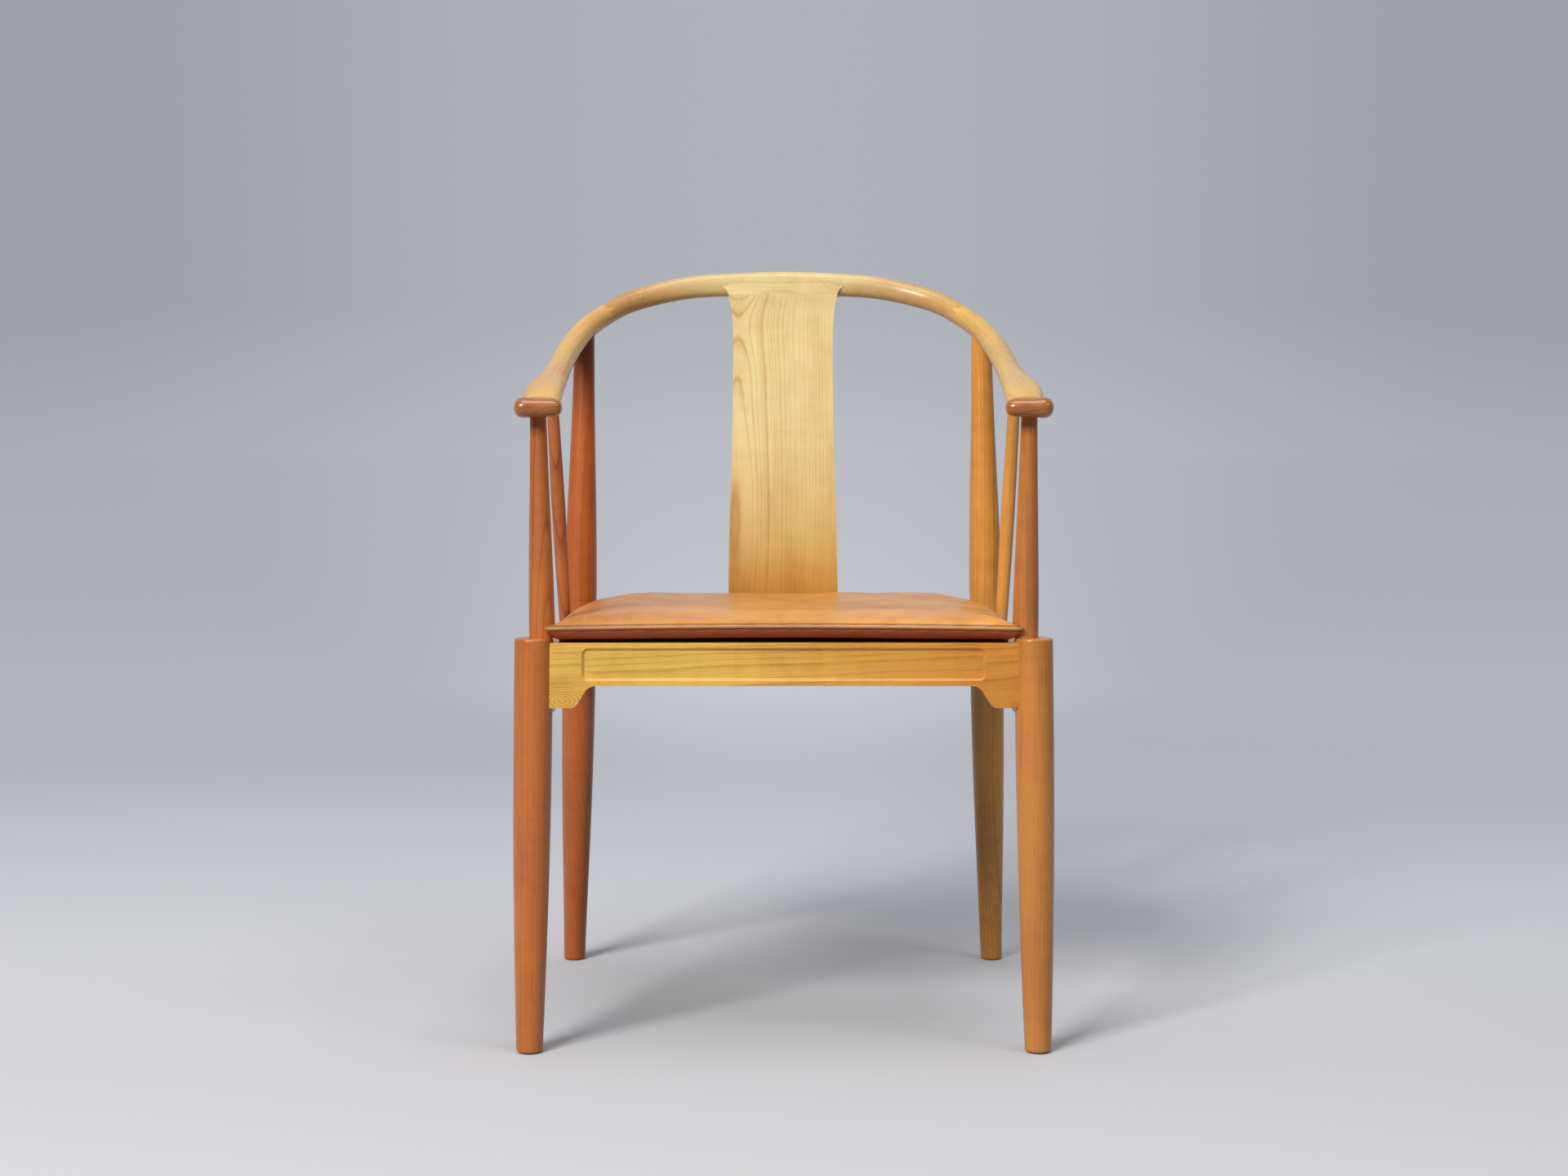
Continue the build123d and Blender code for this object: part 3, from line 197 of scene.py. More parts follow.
def wood(name, pale, dark, grain, pith, ring, strength=0.6, wander=9.0, heart=None, bent=None,
         knot=None, calm=0.0, fades=(), coat=0.40, gloss=0.18):
    """Clear-lacquered wood, sawn from a log whose heart runs through pith.

    The growth rings are shells round the heart, so flat faces show arches and round members
    show long lines, as turned and bent pieces do. Satin lacquer gives soft, broad highlights.
    """
    material, tree, shader, place = new_material(name)
    board = unbent(tree, place, bent) if bent else place
    years = ring_years(tree, log_place(tree, board, heart or grain, pith), ring, wander, calm).outputs[0]
    if knot:
        years, near = knot_years(tree, place, years, knot)
    year = add(tree, "Math", {0: years}, operation="FRACT")
    late = add(tree, "ValToRGB", {0: year.outputs[0]},
               [(0.0, 0.40), (0.06, 0.05), (0.60, 0.06), (0.84, 0.32), (0.95, 1.0), (1.0, 0.40)])
    fibre_place = log_place(tree, board, grain, pith)
    stretched = add(tree, "VectorMath", {0: fibre_place, 1: FIBRES}, operation="MULTIPLY")
    fibres = add(tree, "TexNoise", {"Vector": stretched.outputs[0], "Scale": 1.0, "Detail": 3.0,
                                    "Roughness": 0.65})
    dashes = add(tree, "VectorMath", {0: fibre_place, 1: FLECKS}, operation="MULTIPLY")
    flecks = add(tree, "TexNoise", {"Vector": dashes.outputs[0], "Scale": 1.0, "Detail": 1.0})
    flecks = add(tree, "ValToRGB", {0: flecks.outputs[0]}, [(0.66, 0.0), (0.76, 1.0)])
    broad = add(tree, "VectorMath", {0: fibre_place, 1: CLOUDS}, operation="MULTIPLY")
    clouds = add(tree, "TexNoise", {"Vector": broad.outputs[0], "Scale": 1.0, "Detail": 3.0})
    clouds = add(tree, "MapRange", {0: clouds.outputs[0], 1: 0.3, 2: 0.7, 3: -0.18, 4: 0.30})
    crossed = add(tree, "VectorMath", {0: fibre_place, 1: RIPPLES}, operation="MULTIPLY")
    ripple = add(tree, "TexNoise", {"Vector": crossed.outputs[0], "Scale": 1.0, "Detail": 1.0})
    ripple = add(tree, "MapRange", {0: ripple.outputs[0], 1: 0.3, 2: 0.7, 3: -0.07, 4: 0.07})
    streak = add(tree, "MapRange", {0: fibres.outputs[0], 1: 0.3, 2: 0.7, 3: -0.13, 4: 0.19})
    # How dark the wood is at a point, from 0 to 1: late wood, clouds, ripples, fibres and flecks.
    depth = add(tree, "Math", {0: late.outputs[0], 1: strength, 2: clouds.outputs[0]},
                operation="MULTIPLY_ADD")
    depth = add(tree, "Math", {0: depth.outputs[0], 1: ripple.outputs[0]}, operation="ADD")
    depth = add(tree, "Math", {0: depth.outputs[0], 1: streak.outputs[0]}, operation="ADD")
    depth = add(tree, "Math", {0: flecks.outputs[0], 1: 0.20, 2: depth.outputs[0]},
                operation="MULTIPLY_ADD")
    if knot:
        around = add(tree, "Math", {0: late.outputs[0], 1: near}, operation="MULTIPLY")
        depth = add(tree, "Math", {0: around.outputs[0], 1: 0.35, 2: depth.outputs[0]},
                    operation="MULTIPLY_ADD")
        depth = add(tree, "Math", {0: near, 1: 0.18, 2: depth.outputs[0]}, operation="MULTIPLY_ADD")
    colour = add(tree, "ValToRGB", {0: depth.outputs[0]}, [(0.0, srgb(pale)), (1.0, srgb(dark))])
    tone = colour.outputs[0]
    for fade in fades:
        tone = faded(tree, place, tone, *fade)
    tree.links.new(tone, shader.inputs["Base Color"])
    rough = add(tree, "MapRange", {0: fibres.outputs[0], 1: 0.3, 2: 0.7, 3: 0.36, 4: 0.48})
    tree.links.new(rough.outputs[0], shader.inputs["Roughness"])
    relief = add(tree, "Math", {0: fibres.outputs[0], 1: late.outputs[0]}, operation="ADD")
    bump = add(tree, "Bump", {"Strength": 0.10, "Distance": 0.1 * MM, "Height": relief.outputs[0]})
    tree.links.new(bump.outputs[0], shader.inputs["Normal"])
    shader.inputs["IOR"].default_value = 1.45
    shader.inputs["Coat Weight"].default_value = coat
    shader.inputs["Coat Roughness"].default_value = gloss
    shader.inputs["Coat IOR"].default_value = 1.5
    return material


UP = (0, 0, 1)
ACROSS = (1, 0, 0)
BACKWARDS = (0, 1, 0)
# Each piece of the frame: pale and dark colour, direction of its grain, place of the log's heart
# in millimetres, ring width in millimetres, strength of its figure, wander of its rings in
# millimetres, and what else is special about it.
WOODS = {
    "front_leg_left": ("C97230", "8C4217", UP, (-345, -300, 0), 5.5, 0.28, 9, {}),
    "front_leg_right": ("D2883A", "984F1D", UP, (340, -262, 0), 3.4, 0.26, 6, {}),
    "rear_leg_left": ("C36526", "813A10", UP, (-310, 200, 0), 5.0, 0.34, 9,
                      {"fades": [(2, 620, 740, "6C4426")]}),
    "rear_leg_right": ("E1993E", "95551E", UP, (335, 140, 0), 3.0, 0.50, 5, {}),
    "arm_post_left": ("C97231", "884015", UP, (-275, -205, 0), 5.0, 0.50, 9, {}),
    "arm_post_right": ("C47A33", "8B4A19", UP, (292, -230, 0), 5.5, 0.30, 9, {}),
    "spindle_left": ("C26C32", "7C3A16", UP, (-255, -20, 0), 4.5, 0.60, 9, {}),
    "spindle_right": ("DE9A44", "A05C24", UP, (290, -10, 0), 5.0, 0.30, 9, {}),
    # The front rail's fade, darker and more orange to the right, is partly the wood's own tone and partly
    # painted shade away from the key lamp.
    "front_rail": ("F0C057", "AF6922", (1, 0, 0.04), (40, -420, 345), 2.2, 0.48, 7,
                   {"knot": (-224, -255, 357, 32), "fades": [(0, -120, 230, "E8B890")]}),
    "rear_rail": ("D7A04E", "A1652A", ACROSS, (0, 310, 350), 3.2, 0.40, 9, {}),
    "side_rail_left": ("CB8640", "935322", BACKWARDS, (-420, 0, 330), 3.2, 0.40, 9, {}),
    "side_rail_right": ("D8994A", "A06028", BACKWARDS, (420, 0, 340), 3.2, 0.40, 9, {}),
    "back_splat": ("DEC88D", "BA8D46", (0.012, 0, 1), (-55, 75, 700), 2.6, 0.62, 0.8,
                   {"bent": "back_splat", "heart": (0.01, -0.0145, 1),
                    "fades": [(2, 640, 500, "F6E4B8"), (2, 520, 425, "F2BE66")]}),
    "bow_centre": ("E0CA8E", "B5894C", ACROSS, (-3, 260, 752), 3.2, 0.36, 1.5,
                   {"heart": (0, 1, 0.05), "calm": 76,
                    "fades": [(0, -60, -190, "DCB08C"), (0, 60, 190, "EAC8A8")]}),
    "bow_arm_left": ("E1AD5D", "A36826", (-0.12, -1, -0.22), (-120, 0, 560), 6.0, 0.22, 9, {}),
    "bow_arm_right": ("DFB25E", "A8752D", (0.12, -1, -0.22), (120, 0, 560), 6.0, 0.22, 9, {}),
    "arm_knob_left": ("B36620", "54240D", (1, 0.2, 0.2), (-262, -282, 640), 2.6, 0.70, 7,
                      {"coat": 1.0, "gloss": 0.08}),
    "arm_knob_right": ("B3661B", "53230D", (1, -0.2, 0.2), (262, -282, 640), 2.6, 0.70, 7,
                       {"coat": 1.0, "gloss": 0.08}),
}


def dress_wood():
    """Cherry on every piece that shows, plain beech on the hidden framing."""
    for name, (pale, dark, grain, pith, ring, strength, wander, more) in WOODS.items():
        material = wood("lacquered_cherry_" + name, pale, dark, grain, pith, ring, strength, wander, **more)
        dress(nodes[name], material)
    for name, obj in nodes.items():
        if name.startswith(("seat_frame_front", "seat_frame_rear", "knob_dowels")):
            grain, pith = ACROSS, (0, -300, 350)
        elif name.startswith("seat_frame_side"):
            grain, pith = BACKWARDS, (300, 0, 350)
        elif name.startswith("corner_block") and "screws" not in name:
            grain, pith = ACROSS, (0, 0, 300)
        else:
            continue
        dress(obj, wood("sanded_beech_" + name, "D9B98A", "B58E5E", grain, pith, 3.5, 0.3, coat=0.0))


# ---- Leather -------------------------------------------------------------------------------------
STITCH = 3.6 * MM               # from stitch to stitch
PEBBLES = 780.0                 # to the metre: pebbles of the hide, 1.3 mm across


def above_seam(tree, place):
    """Height over the cushion's seam, which runs a little higher in the middle, and the place's parts."""
    reach = BOX["seat_cushion"][1].x
    split = add(tree, "SeparateXYZ", {0: place})
    along = add(tree, "Math", {0: split.outputs[0], 1: reach}, operation="DIVIDE")
    along = add(tree, "Math", {0: along.outputs[0], 1: 2.0}, operation="POWER")
    seam = add(tree, "Math", {0: along.outputs[0], 1: -SEAM_RISE, 2: SEAM_Z + SEAM_RISE},
               operation="MULTIPLY_ADD")
    over = add(tree, "Math", {0: split.outputs[2], 1: seam.outputs[0]}, operation="SUBTRACT")
    return over.outputs[0], split


def leather(name, pale, dark, band, pebble=1.0, crevice_shade_shows=True):
    """Vegetable-tanned cowhide, hand-glazed: warm tan, clouded by use, with fine pebbled grain.

    Its sides below the seam are redder and deeper, partly the glaze's own colour and partly painted shade,
    and further under it the underside is painted darker still as painted shade. Beside the piping the seam
    shows as a dark line of painted shade, with a small pucker at each stitch.
    """
    material, tree, shader, place = new_material(name)
    clouds = add(tree, "TexNoise", {"Vector": place, "Scale": 8.0, "Detail": 4.0, "Roughness": 0.55})
    worn = add(tree, "MapRange", {0: clouds.outputs[0], 1: 0.32, 2: 0.68, 3: 0.0, 4: 0.9})
    mottle = add(tree, "TexNoise", {"Vector": place, "Scale": 60.0, "Detail": 3.0})
    mottle = add(tree, "MapRange", {0: mottle.outputs[0], 1: 0.3, 2: 0.7, 3: -0.18, 4: 0.18})
    depth = add(tree, "Math", {0: worn.outputs[0], 1: mottle.outputs[0]}, operation="ADD")
    top = add(tree, "ValToRGB", {0: depth.outputs[0]}, [(0.0, srgb(pale)), (1.0, srgb(dark))])
    over, split = above_seam(tree, place)
    # The sides below the seam: the glaze's redder colour, with painted shade mixed in.
    below = add(tree, "MapRange", {0: over, 1: 0.5 * MM, 2: -2.5 * MM, 3: 0.0, 4: 1.0})
    both = add(tree, "Mix", {0: below.outputs[0], 6: top.outputs[0], 7: srgb(band)}, data_type="RGBA")
    # Painted shade: the underside, further below the seam, is darker still.
    underside_shade = add(tree, "MapRange", {0: over, 1: -3.0 * MM, 2: -13.0 * MM, 3: 0.0, 4: 0.75})
    both = add(tree, "Mix", {0: underside_shade.outputs[0], 6: both.outputs[2], 7: srgb("6E240E")}, data_type="RGBA")
    # Creases and healed scratches: thin lines where a stretched noise passes its middle.
    lines = add(tree, "VectorMath", {0: place, 1: (30.0, 9.0, 9.0)}, operation="MULTIPLY")
    lines = add(tree, "TexNoise", {"Vector": lines.outputs[0], "Scale": 1.0, "Detail": 2.0,
                                   "Distortion": 0.6})
    lines = add(tree, "ValToRGB", {0: lines.outputs[0]},
                [(0.492, 0.0), (0.499, 1.0), (0.502, 1.0), (0.509, 0.0)])
    gate = add(tree, "TexNoise", {"Vector": place, "Scale": 17.0, "Detail": 0.0})
    gate = add(tree, "ValToRGB", {0: gate.outputs[0]}, [(0.56, 0.0), (0.66, 0.4)])
    lines = add(tree, "Math", {0: lines.outputs[0], 1: gate.outputs[0]}, operation="MULTIPLY")
    marked = add(tree, "Mix", {0: lines.outputs[0], 6: both.outputs[2], 7: srgb("E0A468")},
                 data_type="RGBA")
    # Painted shade: a dark line in the crevice close beside the piping, on both sides of it.
    beside = add(tree, "Math", {0: over}, operation="ABSOLUTE")
    seam = add(tree, "MapRange", {0: beside.outputs[0], 1: 2.2 * MM, 2: 4.4 * MM, 3: 0.85, 4: 0.0},
               interpolation_type="SMOOTHSTEP")
    crevice_shaded = add(tree, "Mix", {0: seam.outputs[0], 6: marked.outputs[2], 7: srgb("5A260F")},
                 data_type="RGBA")
    tree.links.new((crevice_shaded if crevice_shade_shows else marked).outputs[2], shader.inputs["Base Color"])
    rough = add(tree, "MapRange", {0: clouds.outputs[0], 1: 0.3, 2: 0.7, 3: 0.30, 4: 0.44})
    tree.links.new(rough.outputs[0], shader.inputs["Roughness"])
    # Pebbles, soft folds some 40 mm apart, creases, and the stitches' puckers.
    cells = add(tree, "TexVoronoi", {"Vector": place, "Scale": PEBBLES}, feature="SMOOTH_F1")
    grain = add(tree, "Bump", {"Strength": 0.12 * pebble, "Distance": 0.2 * MM, "Height": cells.outputs[0]})
    folds = add(tree, "TexNoise", {"Vector": place, "Scale": 24.0, "Detail": 3.0})
    soft = add(tree, "Bump", {"Strength": 0.22, "Distance": 2.0 * MM, "Height": folds.outputs[0],
                              "Normal": grain.outputs[0]})
    crease = add(tree, "Bump", {"Strength": 0.4, "Distance": 0.4 * MM, "Height": lines.outputs[0],
                                "Normal": soft.outputs[0]}, invert=True)
    around = add(tree, "Math", {0: split.outputs[0], 1: split.outputs[1]}, operation="ADD")
    around = add(tree, "Math", {0: around.outputs[0], 1: 2 * math.pi / STITCH}, operation="MULTIPLY")
    stitch = add(tree, "Math", {0: around.outputs[0]}, operation="SINE")
    close = add(tree, "MapRange", {0: beside.outputs[0], 1: 2.0 * MM, 2: 6.0 * MM, 3: 1.0, 4: 0.0})
    pucker = add(tree, "Math", {0: stitch.outputs[0], 1: close.outputs[0]}, operation="MULTIPLY")
    drawn = add(tree, "Bump", {"Strength": 0.35, "Distance": 0.25 * MM, "Height": pucker.outputs[0],
                               "Normal": crease.outputs[0]})
    tree.links.new(drawn.outputs[0], shader.inputs["Normal"])
    shader.inputs["IOR"].default_value = 1.47
    shader.inputs["Coat Weight"].default_value = 0.25
    shader.inputs["Coat Roughness"].default_value = 0.28
    return material


# ---- Small hardware and webbing ------------------------------------------------------------------


def jute(name):
    """Woven jute webbing: coarse twisted yarn, 2.2 mm apart, matt, with fuzz between the yarns."""
    material, tree, shader, place = new_material(name)
    pitch = 2.2 * MM
    warp = add(tree, "VectorMath", {0: place, 1: [0.5 / pitch] * 3}, operation="MULTIPLY")
    split = add(tree, "SeparateXYZ", {0: warp.outputs[0]})
    waves = []
    for axis in (0, 1):
        turn = add(tree, "Math", {0: split.outputs[axis], 1: 2 * math.pi}, operation="MULTIPLY")
        waves.append(add(tree, "Math", {0: turn.outputs[0]}, operation="SINE").outputs[0])
    weave = add(tree, "Math", {0: waves[0], 1: waves[1]}, operation="MULTIPLY")
    fuzz = add(tree, "TexNoise", {"Vector": place, "Scale": 420.0, "Detail": 3.0})
    mixed = add(tree, "Math", {0: weave.outputs[0], 1: 0.25, 2: fuzz.outputs[0]}, operation="MULTIPLY_ADD")
    colour = add(tree, "ValToRGB", {0: mixed.outputs[0]}, [(0.2, srgb("8F7A54")), (0.8, srgb("CDB88C"))])
    tree.links.new(colour.outputs[0], shader.inputs["Base Color"])
    bump = add(tree, "Bump", {"Strength": 0.7, "Distance": 0.6 * MM, "Height": mixed.outputs[0]})
    tree.links.new(bump.outputs[0], shader.inputs["Normal"])
    shader.inputs["Roughness"].default_value = 0.9
    return material


def zinc_steel(name):
    """Zinc-plated steel: dull bluish silver with a faint mottled passivation."""
    material, tree, shader, place = new_material(name)
    spots = add(tree, "TexNoise", {"Vector": place, "Scale": 260.0, "Detail": 2.0})
    colour = add(tree, "ValToRGB", {0: spots.outputs[0]}, [(0.3, srgb("B9BBBD")), (0.7, srgb("D6D4CB"))])
    tree.links.new(colour.outputs[0], shader.inputs["Base Color"])
    shader.inputs["Metallic"].default_value = 1.0
    rough = add(tree, "MapRange", {0: spots.outputs[0], 3: 0.28, 4: 0.45})
    tree.links.new(rough.outputs[0], shader.inputs["Roughness"])
    return material


def nylon(name):
    """Moulded dark nylon: matt, scuffed a little by the floor."""
    material, tree, shader, place = new_material(name)
    scuff = add(tree, "TexNoise", {"Vector": place, "Scale": 320.0, "Detail": 4.0})
    colour = add(tree, "ValToRGB", {0: scuff.outputs[0]}, [(0.35, srgb("2B2723")), (0.75, srgb("4A443D"))])
    tree.links.new(colour.outputs[0], shader.inputs["Base Color"])
    bump = add(tree, "Bump", {"Strength": 0.3, "Distance": 0.1 * MM, "Height": scuff.outputs[0]})
    tree.links.new(bump.outputs[0], shader.inputs["Normal"])
    shader.inputs["Roughness"].default_value = 0.55
    return material


def dress_hardware():
    """Steel, nylon and webbing on the CAD's own pieces."""
    steel = zinc_steel("zinc_plated_steel")
    for name in ("corner_block_screws", "seat_frame_screws", "webbing_tacks"):
        dress(nodes[name], steel)
    dress(nodes["floor_glides"], nylon("moulded_nylon"))
    webbing = jute("jute_webbing")
    dress(nodes["webbing_lengthwise"], webbing)
    dress(nodes["webbing_crosswise"], webbing)


# ---- Cushion -------------------------------------------------------------------------------------


def cushion_corners():
    """Right half of the cushion's plan, as (x, y, rounding), from the front middle to the back."""
    low, high = BOX["seat_cushion"]
    post_low, _ = BOX["arm_post_right"]
    leg_low, _ = BOX["rear_leg_right"]
    inset = PIPING_RADIUS
    ear = high.x + EAR_OUT - inset
    front = low.y + inset
    side = post_low.x - POST_CLEAR - inset
    notch = post_low.y - POST_CLEAR - inset
    back = high.y - inset
    return [
        (ear, front, 5 * MM),
        (ear, notch, 4 * MM),
        (side, notch + 6 * MM, 4 * MM),
        (side, back - 190 * MM, 60 * MM),
        (leg_low.x + 1 * MM, back - 76 * MM, 30 * MM),
        (leg_low.x - 20 * MM, back - 28 * MM, 26 * MM),
        (leg_low.x - 60 * MM, back - 4 * MM, 26 * MM),
        (0.0, back, 60 * MM),
    ]


def cushion_plan(bm, z):
    """A face over the cushion's plan, its corners rounded."""
    right = cushion_corners()
    left = [(-x, y, turn) for x, y, turn in right[-2::-1]]
    verts = [bm.verts.new((x, y, z)) for x, y, _ in right + left]
    bm.faces.new(verts)
    for vert, (_, _, turn) in zip(verts, right + left):
        bmesh.ops.bevel(bm, geom=[vert], offset=turn, segments=6, profile=0.5,
                        affect="VERTICES", clamp_overlap=True, material=-1)
    bm.normal_update()
    face = bm.faces[:][0]
    if face.normal.z < 0:
        bmesh.ops.reverse_faces(bm, faces=[face])
    return face


def seam_height(x):
    """Height of the seam at a distance from the chair's middle plane: it is lowest at the ends."""
    return SEAM_Z + SEAM_RISE * (1 - (x / BOX["seat_cushion"][1].x) ** 2)


def seam_points():
    """Closed line of the seam, evenly spaced."""
    bm = bmesh.new()
    corners = [v.co.copy() for v in cushion_plan(bm, SEAM_Z).verts]
    bm.free()
    runs = [(a, b, (b - a).length) for a, b in zip(corners, corners[1:] + corners[:1])]
    count = round(sum(length for _, _, length in runs) / SEAM_STEP)
    step = sum(length for _, _, length in runs) / count
    points, gone = [], 0.0
    for a, b, length in runs:
        while gone < length:
            points.append(a.lerp(b, gone / length))
            gone += step
        gone -= length
    for point in points:
        point.z = seam_height(point.x)
    return points


def free_seam(seam):
    """The seam without the stretches that go round the arm posts."""
    post_low, post_high = BOX["arm_post_right"]
    low, high = BOX["seat_cushion"]
    front = low.y + PIPING_RADIUS + 4 * MM
    outer = high.x - PIPING_RADIUS - 1 * MM
    inner = post_low.x - 5 * MM
    return [p for p in seam if p.y <= front or abs(p.x) > outer
            or (abs(p.x) < inner and p.y >= post_high.y)]


def rim_tree(seam):
    """Search tree of the seam's line in plan."""
    rim = kdtree.KDTree(len(seam))
    for index, point in enumerate(seam):
        rim.insert((point.x, point.y, 0.0), index)
    rim.balance()
    return rim


def from_rim(rim, point):
    """Distance in plan between a point and the seam."""
    return rim.find((point.x, point.y, 0.0))[2]


def cushion_block():
    """Plain block over the cushion's plan, from which its cover is shaped."""
    bm = bmesh.new()
    top = cushion_plan(bm, SEAM_Z + SLAB_HALF)
    made = bmesh.ops.duplicate(bm, geom=[top] + top.edges[:] + top.verts[:])
    bottom = [g for g in made["geom"] if isinstance(g, bmesh.types.BMFace)][0]
    bmesh.ops.translate(bm, verts=bottom.verts[:], vec=(0, 0, -2 * SLAB_HALF))
    bmesh.ops.reverse_faces(bm, faces=[bottom])
    bmesh.ops.bridge_loops(bm, edges=top.edges[:] + bottom.edges[:])
    bmesh.ops.recalc_face_normals(bm, faces=bm.faces[:])
    mesh = bpy.data.meshes.new("seat_cushion_leather")
    bm.to_mesh(mesh)
    bm.free()
    return mesh


def eased(share):
    """Smooth step between 0 and 1."""
    share = max(0.0, min(1.0, share))
    return share * share * (3 - 2 * share)


def belly(point):
    """1 where the cushion lies on the webbing, 0 over the front and rear rails."""
    front, rear = BOX["front_rail"][1].y, BOX["rear_rail"][0].y
    return (eased((point.y - front - RAIL_CLEAR) / BELLY_RUN)
            * eased((rear - RAIL_CLEAR - point.y) / BELLY_RUN))


def shaped(obj, rim, free):
    """Gives the block a knife edge at the seam, a crown above it and a rounded underside."""
    webbing_top = BOX["webbing_tacks"][1].z + 0.3 * MM
    for vert in obj.data.vertices:
        point = vert.co
        share = max(-1.0, min(1.0, (point.z - SEAM_Z) / (SLAB_HALF - 0.5 * MM)))
        away = from_rim(rim if share > 0 else free, point)
        seam = seam_height(point.x)
        if share > 0:
            reach = RIM_HALF + (TOP_Z - seam - RIM_HALF) * (1 - math.exp(-away / TOP_RUN))
        else:
            deepest = UNDER_DROP + (seam - webbing_top - UNDER_DROP) * belly(point)
            reach = RIM_HALF + (deepest - RIM_HALF) * (1 - math.exp(-away / UNDER_RUN))
        point.z = seam + share * reach


def filled(obj, rim):
    """Swells the cushion by cloth under pressure, held at its seam."""
    held = obj.vertex_groups.new(name="held")
    start = [v.co.copy() for v in obj.data.vertices]
    for index, point in enumerate(start):
        held.add([index], max(0.0, min(1.0, 1.8 - from_rim(rim, point) / HOLD_RUN)), "REPLACE")
    cloth = obj.modifiers.new("filling", "CLOTH")
    settings = cloth.settings
    settings.quality = 3
    settings.mass = 0.35
    settings.tension_stiffness = 30
    settings.compression_stiffness = 30
    settings.shear_stiffness = 15
    settings.bending_stiffness = 4
    settings.use_pressure = True
    settings.uniform_pressure_force = 4
    settings.vertex_group_mass = "held"
    settings.effector_weights.gravity = 0
    cloth.collision_settings.use_collision = False
    for number in range(1, CLOTH_FRAMES + 1):
        scene.frame_set(number)
    applied(obj)
    for vert, before in zip(obj.data.vertices, start):
        move = vert.co - before
        cap = SWELL_CAP if before.z > SEAM_Z else 0.4 * SWELL_CAP
        if move.length > cap:
            move *= cap / move.length
        vert.co = before + move
    scene.frame_set(1)


def finished_mesh(obj):
    """The mesh that an object's modifiers, or a curve's bevel, make of it."""
    return bpy.data.meshes.new_from_object(obj.evaluated_get(bpy.context.evaluated_depsgraph_get()))


def applied(obj):
    """Replaces an object's mesh by what its modifiers make of it."""
    made = finished_mesh(obj)
    obj.modifiers.clear()
    obj.data = made


def settled(obj, rim):
    """Hollows the top where it is sat on, adds soft folds, and keeps the underside off the wood."""
    low, high = BOX["seat_cushion"]
    rail_top = BOX["front_rail"][1].z + 0.5 * MM
    webbing_top = BOX["webbing_tacks"][1].z + 0.2 * MM
    middle = (low + high) / 2
    for vert in obj.data.vertices:
        point = vert.co
        near = eased(from_rim(rim, point) / SETTLE_RUN)
        across = (point.x - middle.x) / high.x
        along = (point.y - middle.y) / (high.y - middle.y)
        if point.z > seam_height(point.x):
            sat_on = math.exp(-((across / 0.55) ** 2 + (along / 0.6) ** 2))
            folds = noise.noise(point * 14.0) * 1.5 + noise.noise(point * 38.0) * 0.5
            point.z += near * (folds * MM - HOLLOW * sat_on)
        else:
            floor = rail_top + (webbing_top - rail_top) * min(1.0, 2.0 * belly(point))
            point.z = max(point.z, floor)


def make_piping(seam, material):
    """Leather piping sewn into the seam all round: one closed roll."""
    line = bpy.data.curves.new("cushion_piping", "CURVE")
    line.dimensions = "3D"
    line.bevel_depth = PIPING_RADIUS
    line.bevel_resolution = PIPING_ROUND
    run = line.splines.new("POLY")
    run.points.add(len(seam) - 1)
    for place, point in zip(run.points, seam):
        place.co = (*point, 1.0)
    run.use_cyclic_u = True
    roll = bpy.data.objects.new("piping_line", line)
    scene.collection.objects.link(roll)
    bpy.context.view_layer.update()
    mesh = finished_mesh(roll)
    bpy.data.objects.remove(roll)
    mesh.polygons.foreach_set("use_smooth", [True] * len(mesh.polygons))
    piping = bpy.data.objects.new("cushion_piping", mesh)
    scene.collection.objects.link(piping)
    dress(piping, material)
    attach(piping, "cushion")


def make_cushion():
    """The loose seat cushion: leather cover, filled and settled, with its piping."""
    seam = seam_points()
    rim = rim_tree(seam)
    cushion = bpy.data.objects.new("seat_cushion_leather", cushion_block())
    scene.collection.objects.link(cushion)
    cover = cushion.modifiers.new("cover", "REMESH")
    cover.mode = "VOXEL"
    cover.voxel_size = VOXEL
    bpy.context.view_layer.update()
    applied(cushion)
    shaped(cushion, rim, rim_tree(free_seam(seam)))
    filled(cushion, rim)
    settled(cushion, rim)
    finer = cushion.modifiers.new("finer", "SUBSURF")
    finer.levels = 1
    finer.render_levels = 1
    applied(cushion)
    cushion.data.polygons.foreach_set("use_smooth", [True] * len(cushion.data.polygons))
    dress(cushion, leather("glazed_cowhide", "E4A04A", "BE752D", "C85428"))
    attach(cushion, "cushion")
    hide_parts("seat_cushion")
    make_piping(seam, leather("glazed_cowhide_piping", "D99A52", "B56F30", "D08A48", 0.6, crevice_shade_shows=False))


# ---- Studio --------------------------------------------------------------------------------------
WALL_FOOT = "C6C9CF"            # the wall's tone where it meets the floor
WALL_LOW = "B9BCC3"             # at the horizon
WALL_HIGH = "AFB2B9"            # and above it
BOUNCE = "868686"               # what the floor throws back on the chair
ROOM = 0.13                     # strength of the light that comes from the dim room
WALL_LIGHT = 0.50               # of the light that the wall behind the chair throws on it
GLOW = 0.58                     # and of the wall's reflection in leather and lacquer
FLOOR_RADIUS = 60.0
MIDDLE = (0.0, 0.0, 0.35)       # the far floor's tone goes by the direction from here


def make_camera():
    """Level camera in front of the chair, its lens shifted down to take in the feet."""
    data = bpy.data.cameras.new("camera")
    data.sensor_width = SENSOR
    data.lens = FOCAL_PIXELS / PICTURE[0] * SENSOR
    data.shift_y = -(PICTURE[1] / 2 - HORIZON_PIXEL) / PICTURE[0]
    camera = bpy.data.objects.new("camera", data)
    camera.location = CAMERA_AT
    camera.rotation_euler = (math.radians(90), 0, -math.radians(CAMERA_YAW))
    scene.collection.objects.link(camera)
    scene.camera = camera


